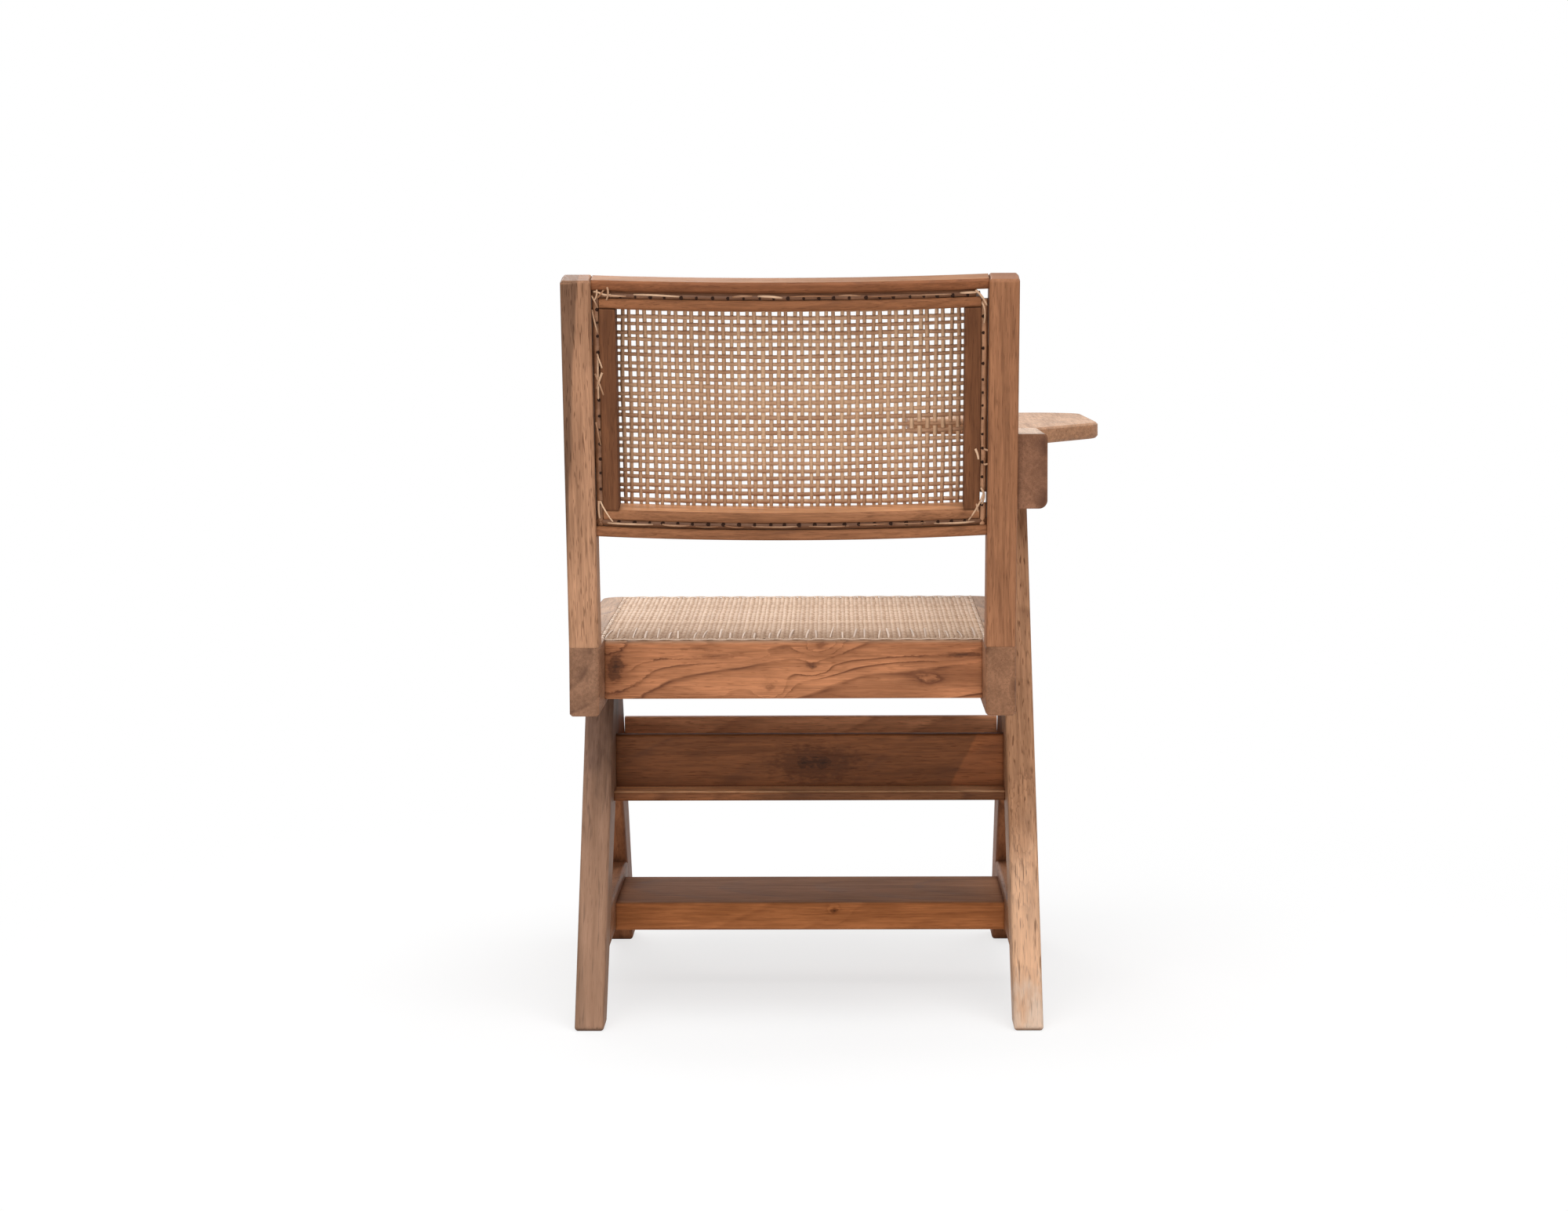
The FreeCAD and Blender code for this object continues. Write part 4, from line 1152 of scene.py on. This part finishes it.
@dataclass
class Seat(Part):
    """The seat: its rails, the woven cane and the binder over the cane's edges.

    Stitches have a width and a thickness. The roll is a drop and the darkening a strength, each with its
    reach.
    The right side is darkened less by a share, from a place outwards, over a reach: painted light where the
    right post shades the seat. Lifts of stitches and loops are those of their ends and how far they rise
    above them.
    """

    length: float = 0.433
    rear: float = 0.100
    half_width: float = 0.2125
    rise: float = 0.008
    rail_length: float = 0.541
    post_foot: float = 0.050
    sag: float = 0.002
    sunk: float = 0.0009
    roll: Pair = (0.0035, 0.006)
    darkening: Pair = (1.25, 0.075)
    hole_darkening: Pair = (0.7, 0.06)
    lit_right: Triple = (0.6, 0.07, 0.1)
    weave: Weave = Weave(
        0.0052, 0.0044, 0.0012, 0.0003, fade=9.0, shade=0.95, pinch=0.0, stations=2, wobble=0.0005, seed=21,
        uneven=(1.5, 0.5),
    )
    lengthwise: Cane = Cane(paint(220, 188, 160), paint(176, 142, 113))
    crosswise: Cane = Cane(paint(216, 184, 156), paint(172, 138, 110))
    edge: Cane = Cane(paint(212, 184, 160), paint(172, 140, 114))
    binder: float = 0.0042
    binder_thick: float = 0.0013
    binder_lift: float = 0.0012
    binder_stations: int = 121
    ripple: float = 0.0003
    ripple_rate: float = 260
    first_stitch: float = 0.012
    stitch_step: float = 0.0156
    stitch_reach: float = 0.0032
    stitch_size: Pair = (0.0019, 0.0007)
    stitch_skew: float = 0.0008
    stitch_lift: Pair = (0.0006, 0.0017)
    stitch_stations: int = 7
    hole_step: float = 0.0135
    hole_ends: Pair = (0.0125, 0.006)
    loop_lengths: Pair = (0.05, 0.12)
    loop_widths: Pair = (0.0017, 0.0027)
    loop_thick: float = 0.0008
    loop_start: float = 0.0004
    loop_shift: float = 0.003
    loop_skew: float = 0.004
    loop_lift: Pair = (0.0003, 0.0012)
    loop_stations: int = 9

    def height(self, across: Array, along: Array) -> Array:
        """Top of the woven sheet: the slope of the rails, a slight sag and a roll over the rear edge.

        Args:
            across: distance from the middle.
            along: distance in front of the middle.

        Returns:
            Heights above the floor.
        """
        reach = self.length / 2
        forward = self.rear + reach + along
        slope = self.rise / (self.rail_length - self.post_foot)
        dish = (1 - (across / self.half_width) ** 2) * (1 - (along / reach) ** 2)
        drop, fade = self.roll
        roll = drop * np.exp(-(reach + along) / fade)
        return RAIL_TOP + slope * (forward - self.post_foot) - self.sunk - self.sag * dish - roll

    def sheet(self, across: Array, along: Array, lift: Array) -> tuple[Array, Array]:
        """Point and upward normal of the woven sheet.

        Args:
            across: distance from the middle.
            along: distance in front of the middle.
            lift: height above the sheet.

        Returns:
            Points and normals.
        """
        forward = self.rear + self.length / 2 + along
        points = (across + SEAT_MIDDLE, RAIL_REAR - forward, self.height(across, along) + lift)
        points = np.stack(points, axis=-1)
        return points, np.broadcast_to(np.array([0.0, 0.0, 1.0]), points.shape)

    def stain(self, across: Array, along: Array) -> Array:
        """Cane that is darker towards the rear edge, most beside the holes there, and less so on the right:
        painted light where the right post shades the seat.

        Args:
            across: distance from the middle.
            along: distance in front of the middle.

        Returns:
            How dark the cane is, from 0 where it is not darkened.
        """
        rear = self.length / 2 + along
        holes = 0.5 - 0.5 * np.cos(2 * np.pi * across / self.hole_step)
        # painted light: less darkening on the right, where the right post shades the seat
        share, start, reach = self.lit_right
        darkened = 1 - share * np.clip((-start - across) / reach, 0, 1)
        (most, fade), (beside, hole_fade) = self.darkening, self.hole_darkening
        return darkened * (most * np.exp(-rear / fade) + beside * holes * np.exp(-rear / hole_fade))

    def build(self) -> None:
        """Make the weave and the binder and give every member its finish."""
        half = (self.half_width, self.length / 2)
        for name, cane, grain, upright in (
            ("seat_cane_lengthwise", self.lengthwise, Grain.LENGTHWISE, True),
            ("seat_cane_across", self.crosswise, Grain.ACROSS, False),
        ):
            strands = self.weave.strands(name, self.sheet, self.stain, half, upright)
            self.dress(strands, cane, grain, "seat_cane", "seat_cane")
        self.bind()
        self.loop()
        swirls = (
            Knot(0.195, 0.014, 0.003, 0.050, 0.003, 1.0, 1.6),
            Knot(0.0256, 0.014, -0.0197, 0.012, 0.005, 0.6, 0.8),
            Knot(-0.0214, 0.014, 0.003, 0.008, 0.003, 0.9, 0.6),
            Knot(-0.0304, 0.014, 0.028, 0.014, 0.008, 0.8, 0.7),
            Knot(-0.153, 0.014, -0.013, 0.009, 0.003, 0.8, 0.4),
            Knot(-0.185, 0.014, 0.016, 0.009, 0.002, 0.9, 0.12),
            Knot(0.085, 0.014, 0.015, 0.007, 0.004, 0.7, 0.1),
        )
        figured = Teak(
            paint(176, 117, 80), 14.0, 0.0030, (0.02, 0.085), wander=0.024, figure=3.0, ring_depth=1.1,
            streaks=0.3, blotch=0.8, lit_top=paint(150, 118, 92), knots=swirls,
        )
        # paler tops of the seat rails: painted light from above
        lit_rail_top = paint(165, 135, 110)
        left = Teak(paint(142, 104, 80), 11.0, 0.005, (0.035, -0.03), ring_depth=0.8, end=0.3, lit_top=lit_rail_top)
        right = Teak(paint(146, 104, 77), 12.0, 0.005, (-0.04, 0.01), ring_depth=0.9, end=0.3, lit_top=lit_rail_top)
        front = Teak(paint(160, 110, 77), 13.0, lit_top=lit_rail_top)
        self.finish(Grain.LENGTHWISE, left_seat_rail=left, right_seat_rail=right)
        self.finish(Grain.ACROSS, front_seat_rail=front, rear_seat_rail=figured)

    def bind(self) -> None:
        """Binder strips over the edges of the weave, stitched down along both sides.

        The strips ripple with a sine of their place. A stitch rises over its strip as half an ellipse.
        """
        draw = np.random.default_rng(31)
        reach, side = self.length / 2, self.half_width - self.binder / 2
        share = np.linspace(-1, 1, self.binder_stations)
        both = np.array([[-1.0], [1.0]])
        long_way, whole = np.broadcast_to(share, (2, len(share))), np.ones(len(share))
        across = np.concatenate([side * both * whole, side * long_way])
        along = np.concatenate([reach * long_way, reach * both * whole * (1 - self.binder / 2 / reach)])
        phase = across * self.ripple_rate + along * self.ripple_rate + np.arange(len(across))[:, None]
        ripple = self.ripple * np.sin(phase)
        centres, normals = self.sheet(across, along, self.binder_lift + ripple)
        strips = ribbons("seat_binder", centres, normals, self.binder, self.binder_thick, 0.25, 0.05)
        self.dress(strips, self.edge, Grain.LENGTHWISE, "cane", "seat_cane_binder")
        marks = np.arange(-reach + self.first_stitch, reach, self.stitch_step)
        bow = np.linspace(-1, 1, self.stitch_stations)
        across = np.repeat(side * both, len(marks), axis=0) + self.stitch_reach * bow
        skew = draw.uniform(-self.stitch_skew, self.stitch_skew, (2 * len(marks), 1))
        along = np.tile(marks, 2)[:, None] + skew * bow
        low, rise = self.stitch_lift
        lift = np.broadcast_to(low + rise * np.sqrt(1 - bow**2), across.shape)
        centres, normals = self.sheet(across, along, lift)
        tone = draw.uniform(0, 0.6, len(across))
        # darker towards both ends, where a stitch goes down into the cane: painted shade
        stitches = ribbons("seat_binder_stitches", centres, normals, *self.stitch_size, tone, 0.5 * bow**2)
        self.dress(stitches, self.edge, Grain.ACROSS, "cane", "seat_cane_binder")

    def loop(self) -> None:
        """Pale loops along the rear edge, where cane comes out of its holes: lift follows sin(pi * share)."""
        draw = np.random.default_rng(33)
        first, last = self.hole_ends
        marks = np.arange(-self.half_width + first, self.half_width - last, self.hole_step)[:, None]
        marks = marks + draw.uniform(-self.loop_shift, self.loop_shift, marks.shape)
        share = np.linspace(0, 1, self.loop_stations)
        along = -self.length / 2 - self.loop_start + draw.uniform(*self.loop_lengths, marks.shape) * share
        across = marks + draw.uniform(-self.loop_skew, self.loop_skew, marks.shape) * share
        low, rise = self.loop_lift
        lift = np.broadcast_to(low + rise * np.sqrt(np.sin(np.pi * share)), along.shape)
        centres, normals = self.sheet(across, along, lift)
        tone = draw.uniform(0.3, 1.1, len(marks))
        width = draw.uniform(*self.loop_widths, marks.shape)
        loops = ribbons("seat_loops", centres, normals, width, self.loop_thick, tone, 0.0)
        self.dress(loops, self.edge, Grain.LENGTHWISE, "seat_cane", "seat_cane")


@dataclass
class Legs(Part):
    """Both compass frames, their stretchers and the foot plank."""

    def build(self) -> None:
        """Give every member its finish."""
        long_leg = Teak(
            paint(165, 122, 91), 23.0, 0.006, (0.012, 0.05), wander=0.010, taper=0.05, ring_depth=0.45,
            pores=1.0,
            knots=(Knot(-0.125, 0.004, -0.018, 0.018, 0.020, 0.0, 0.3),),
            weathering=Weathering(0.25, 0.12, paint(168, 146, 125), 0.85, 0.75, 0.5),
        # dark base lightened below by the weathering: painted shade under the seat on the leg's top, greyer
        # weathered wood lower down
        )
        short_leg = Teak(
            paint(114, 88, 74), 21.0, pith=(0.04, 0.05), ring_depth=0.25, streaks=0.6, blotch=1.0,
            band=Band(0.014, 0.021, -0.08, (0.5, 0.5, 0.52), 1.0),
            weathering=Weathering(0.32, 0.20, paint(149, 114, 88), 0.9, 0.35),
        )
        inner = Teak(paint(140, 92, 62), 24.0)
        stretcher = Teak(paint(150, 104, 74), 25.0)
        plank = Teak(
            paint(157, 98, 59), 27.0, pith=(0.02, 0.085), wander=0.012, ring_depth=0.3, pores=0.25,
            roughness=0.62, specular=0.04, lit_top=paint(147, 105, 76),
            knots=(Knot(-0.028, 0.09, 0.006, 0.012, 0.004, 0.9, 0.9),),
        )
        self.finish(Grain.REAR_LEG, left_rear_leg=short_leg, right_rear_leg=long_leg)
        self.finish(Grain.FRONT_LEG, left_front_leg=inner, right_front_leg=inner)
        self.finish(Grain.ACROSS, foot_plank=plank, leg_to_rail_keys=HIDDEN)
        self.finish(
            Grain.LENGTHWISE,
            left_foot_stretcher=stretcher,
            right_foot_stretcher=replace(stretcher, seed=26.0),
            left_leg_key=HIDDEN,
            right_leg_key=HIDDEN,
        )


@dataclass
class Arm(Part):
    """The arm and its writing tablet."""

    def build(self) -> None:
        """Give every member its finish."""
        tan = Teak(
            paint(162, 117, 85), 32.0, 0.006, (0.0, 0.06), wander=0.02, ring_depth=0.3, end=0.2,
            lit_top=paint(180, 149, 125),
            knots=(Knot(0.1995, 0.0645, 0.0, 0.010, 0.004, 0.7, 0.8),),
        )
        ash = Teak(
            paint(138, 97, 73), 31.0, 0.007, (0.09, 0.0), ring_depth=1.0, end=0.15, lit_top=paint(200, 178, 159)
        )
        self.finish(Grain.LENGTHWISE, arm=ash, writing_tablet=tan, tablet_keys=HIDDEN)
        self.finish(Grain.ACROSS, arm_keys=HIDDEN)


@dataclass
class Tray(Part):
    """The open book tray under the seat."""

    def build(self) -> None:
        """Give every member its finish."""
        eyes = (
            Knot(0.0065, 0.009, -0.0036, 0.022, 0.004, 1.0, 0.8),
            Knot(-0.0158, 0.009, -0.0036, 0.028, 0.005, 1.0, 0.9),
            Knot(-0.005, 0.009, -0.003, 0.060, 0.0, 0.8, 0.4),
        )
        rear = Teak(
            paint(116, 70, 40), 42.0, pith=(0.02, 0.085), wander=0.020, figure=1.6, ring_depth=0.3,
            streaks=0.7, blotch=0.8, knots=eyes,
            # band: a lit patch with a slanted edge over the board's right end, painted light
            band=Band(-0.1745, -0.179, 0.506, (1.5, 1.45, 1.42), 1.0),
        )
        # painted light for the tray bottom: its pale lit top and a paler streak over its left part
        streak = Band(0.05, 0.075, 0.0, (1.4, 1.36, 1.34), 0.9)
        self.finish(
            Grain.ACROSS,
            tray_bottom=Teak(paint(116, 73, 45), 41.0, lit_top=paint(234, 186, 144), band=streak),
            tray_rear_board=rear,
            # pale base: painted light on the inside face, which sits in shade under the seat
            tray_front_board=Teak(paint(222, 158, 116), 43.0, pith=(0.02, 0.085), ring_depth=0.4),
            tray_pegs=Teak(seed=46.0),
        )


@dataclass
class Studio:
    """Camera, floor and plain soft light."""

    eye: Triple = (0.0072, 3.9385, 0.7962)
    pitch: float = 5.139
    yaw: float = 0.890
    roll: float = -0.251
    focal: float = 79.001
    sensor: float = 36.0
    sky: float = 0.5
    overhead: float = 80.0
    fill: float = 22.0
    rear: float = 60.0
    bounce: float = 0.8
    floor_reach: float = 30.0
    floor_fade: Pair = (0.35, 1.5)
    floor_glow: float = 0.68
    aim: Triple = (0.0, 0.0, 0.45)

    def camera(self) -> None:
        """Camera behind the chair, pitched a little down."""
        data = bpy.data.cameras.new("camera")
        data.lens = self.focal
        data.sensor_width = self.sensor
        camera = new_object("camera", data)
        camera.location = self.eye
        turns = ((180 + self.yaw, "Z"), (90 - self.pitch, "X"), (self.roll, "Z"))
        aim, down, tilt = (Matrix.Rotation(math.radians(angle), 3, axis) for angle, axis in turns)
        camera.rotation_euler = (aim @ down @ tilt).to_euler()
        bpy.context.scene.camera = camera

    def light(self) -> None:
        """White surroundings, a wide lamp overhead and weaker ones in front and behind."""
        world = bpy.data.worlds.new("studio")
        bpy.context.scene.world = world
        world.use_nodes = True
        tree = Tree(world.node_tree)
        seen = tree.add("LightPath")
        open_view = tree.math("MAXIMUM", seen.outputs["Is Camera Ray"], seen.outputs["Is Glossy Ray"])
        open_view = tree.math("MAXIMUM", open_view, seen.outputs["Is Transmission Ray"])
        strength = tree.spread(open_view, 0.0, 1.0, self.sky, 1.0)
        tree.fill(world.node_tree.nodes["Background"], Color=(1.0, 1.0, 1.0), Strength=strength)
        self.lamp("overhead", (-0.25, 0.95, 3.2), (3.0, 2.4), self.overhead)
        self.lamp("front", (0.9, -2.4, 1.9), (1.6, 1.2), self.fill)
        self.lamp("rear", (0.8, 4.4, 0.8), (3.0, 1.5), self.rear)

    def lamp(self, name: str, place: Triple, size: Pair, power: float) -> None:
        """One rectangular lamp, aimed at the middle of the chair.

        Args:
            name: the lamp's name.
            place: where it hangs.
            size: width and height.
            power: watts.
        """
        data = bpy.data.lights.new(name, "AREA")
        data.energy = power
        data.shape = "RECTANGLE"
        data.size, data.size_y = size
        lamp = new_object(name, data)
        lamp.location = place
        way = Vector(self.aim) - lamp.location
        lamp.rotation_euler = way.to_track_quat("-Z", "Y").to_euler()

    def floor(self) -> None:
        """White floor that keeps the chair's shadow, throws little light back and fades out far away."""
        mesh = bpy.data.meshes.new("floor")
        reach = self.floor_reach
        corners = [(x * reach, y * reach, 0.0) for x, y in ((-1, -1), (1, -1), (1, 1), (-1, 1))]
        mesh.from_pydata(corners, [], [(0, 1, 2, 3)])
        floor = new_object("floor", mesh)
        material, tree, shader = new_material("floor")
        seen = tree.add("LightPath").outputs["Is Camera Ray"]
        white = tree.mix(seen, (self.bounce,) * 3, (0.9, 0.9, 0.9))
        tree.fill(shader, Base_Color=white, Roughness=0.95, Specular_IOR_Level=0.0)
        distance = tree.vector("LENGTH", tree.add("TexCoord").outputs["Object"])
        share = tree.times(tree.spread(distance, *self.floor_fade, self.floor_glow, 1.0), seen)
        blend = tree.add("MixShader")
        for socket, value in zip(blend.inputs, (share, shader.outputs[0], tree.add("Emission").outputs[0])):
            tree.plug(socket, value)
        tree.fill(material.node_tree.nodes["Material Output"], Surface=blend.outputs[0])
        mesh.materials.append(material)

    def build(self) -> None:
        """Set up the view and the light."""
        self.camera()
        self.light()
        self.floor()
        bpy.context.scene.view_settings.view_transform = "Standard"


def main() -> None:
    """Build and dress the chair."""
    logging.basicConfig(level=logging.INFO)
    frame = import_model()
    groups = Groups()
    Studio().build()
    for part in (Back, Seat, Legs, Arm, Tray):
        part(frame, groups).build()


if __name__ == "__main__":
    main()
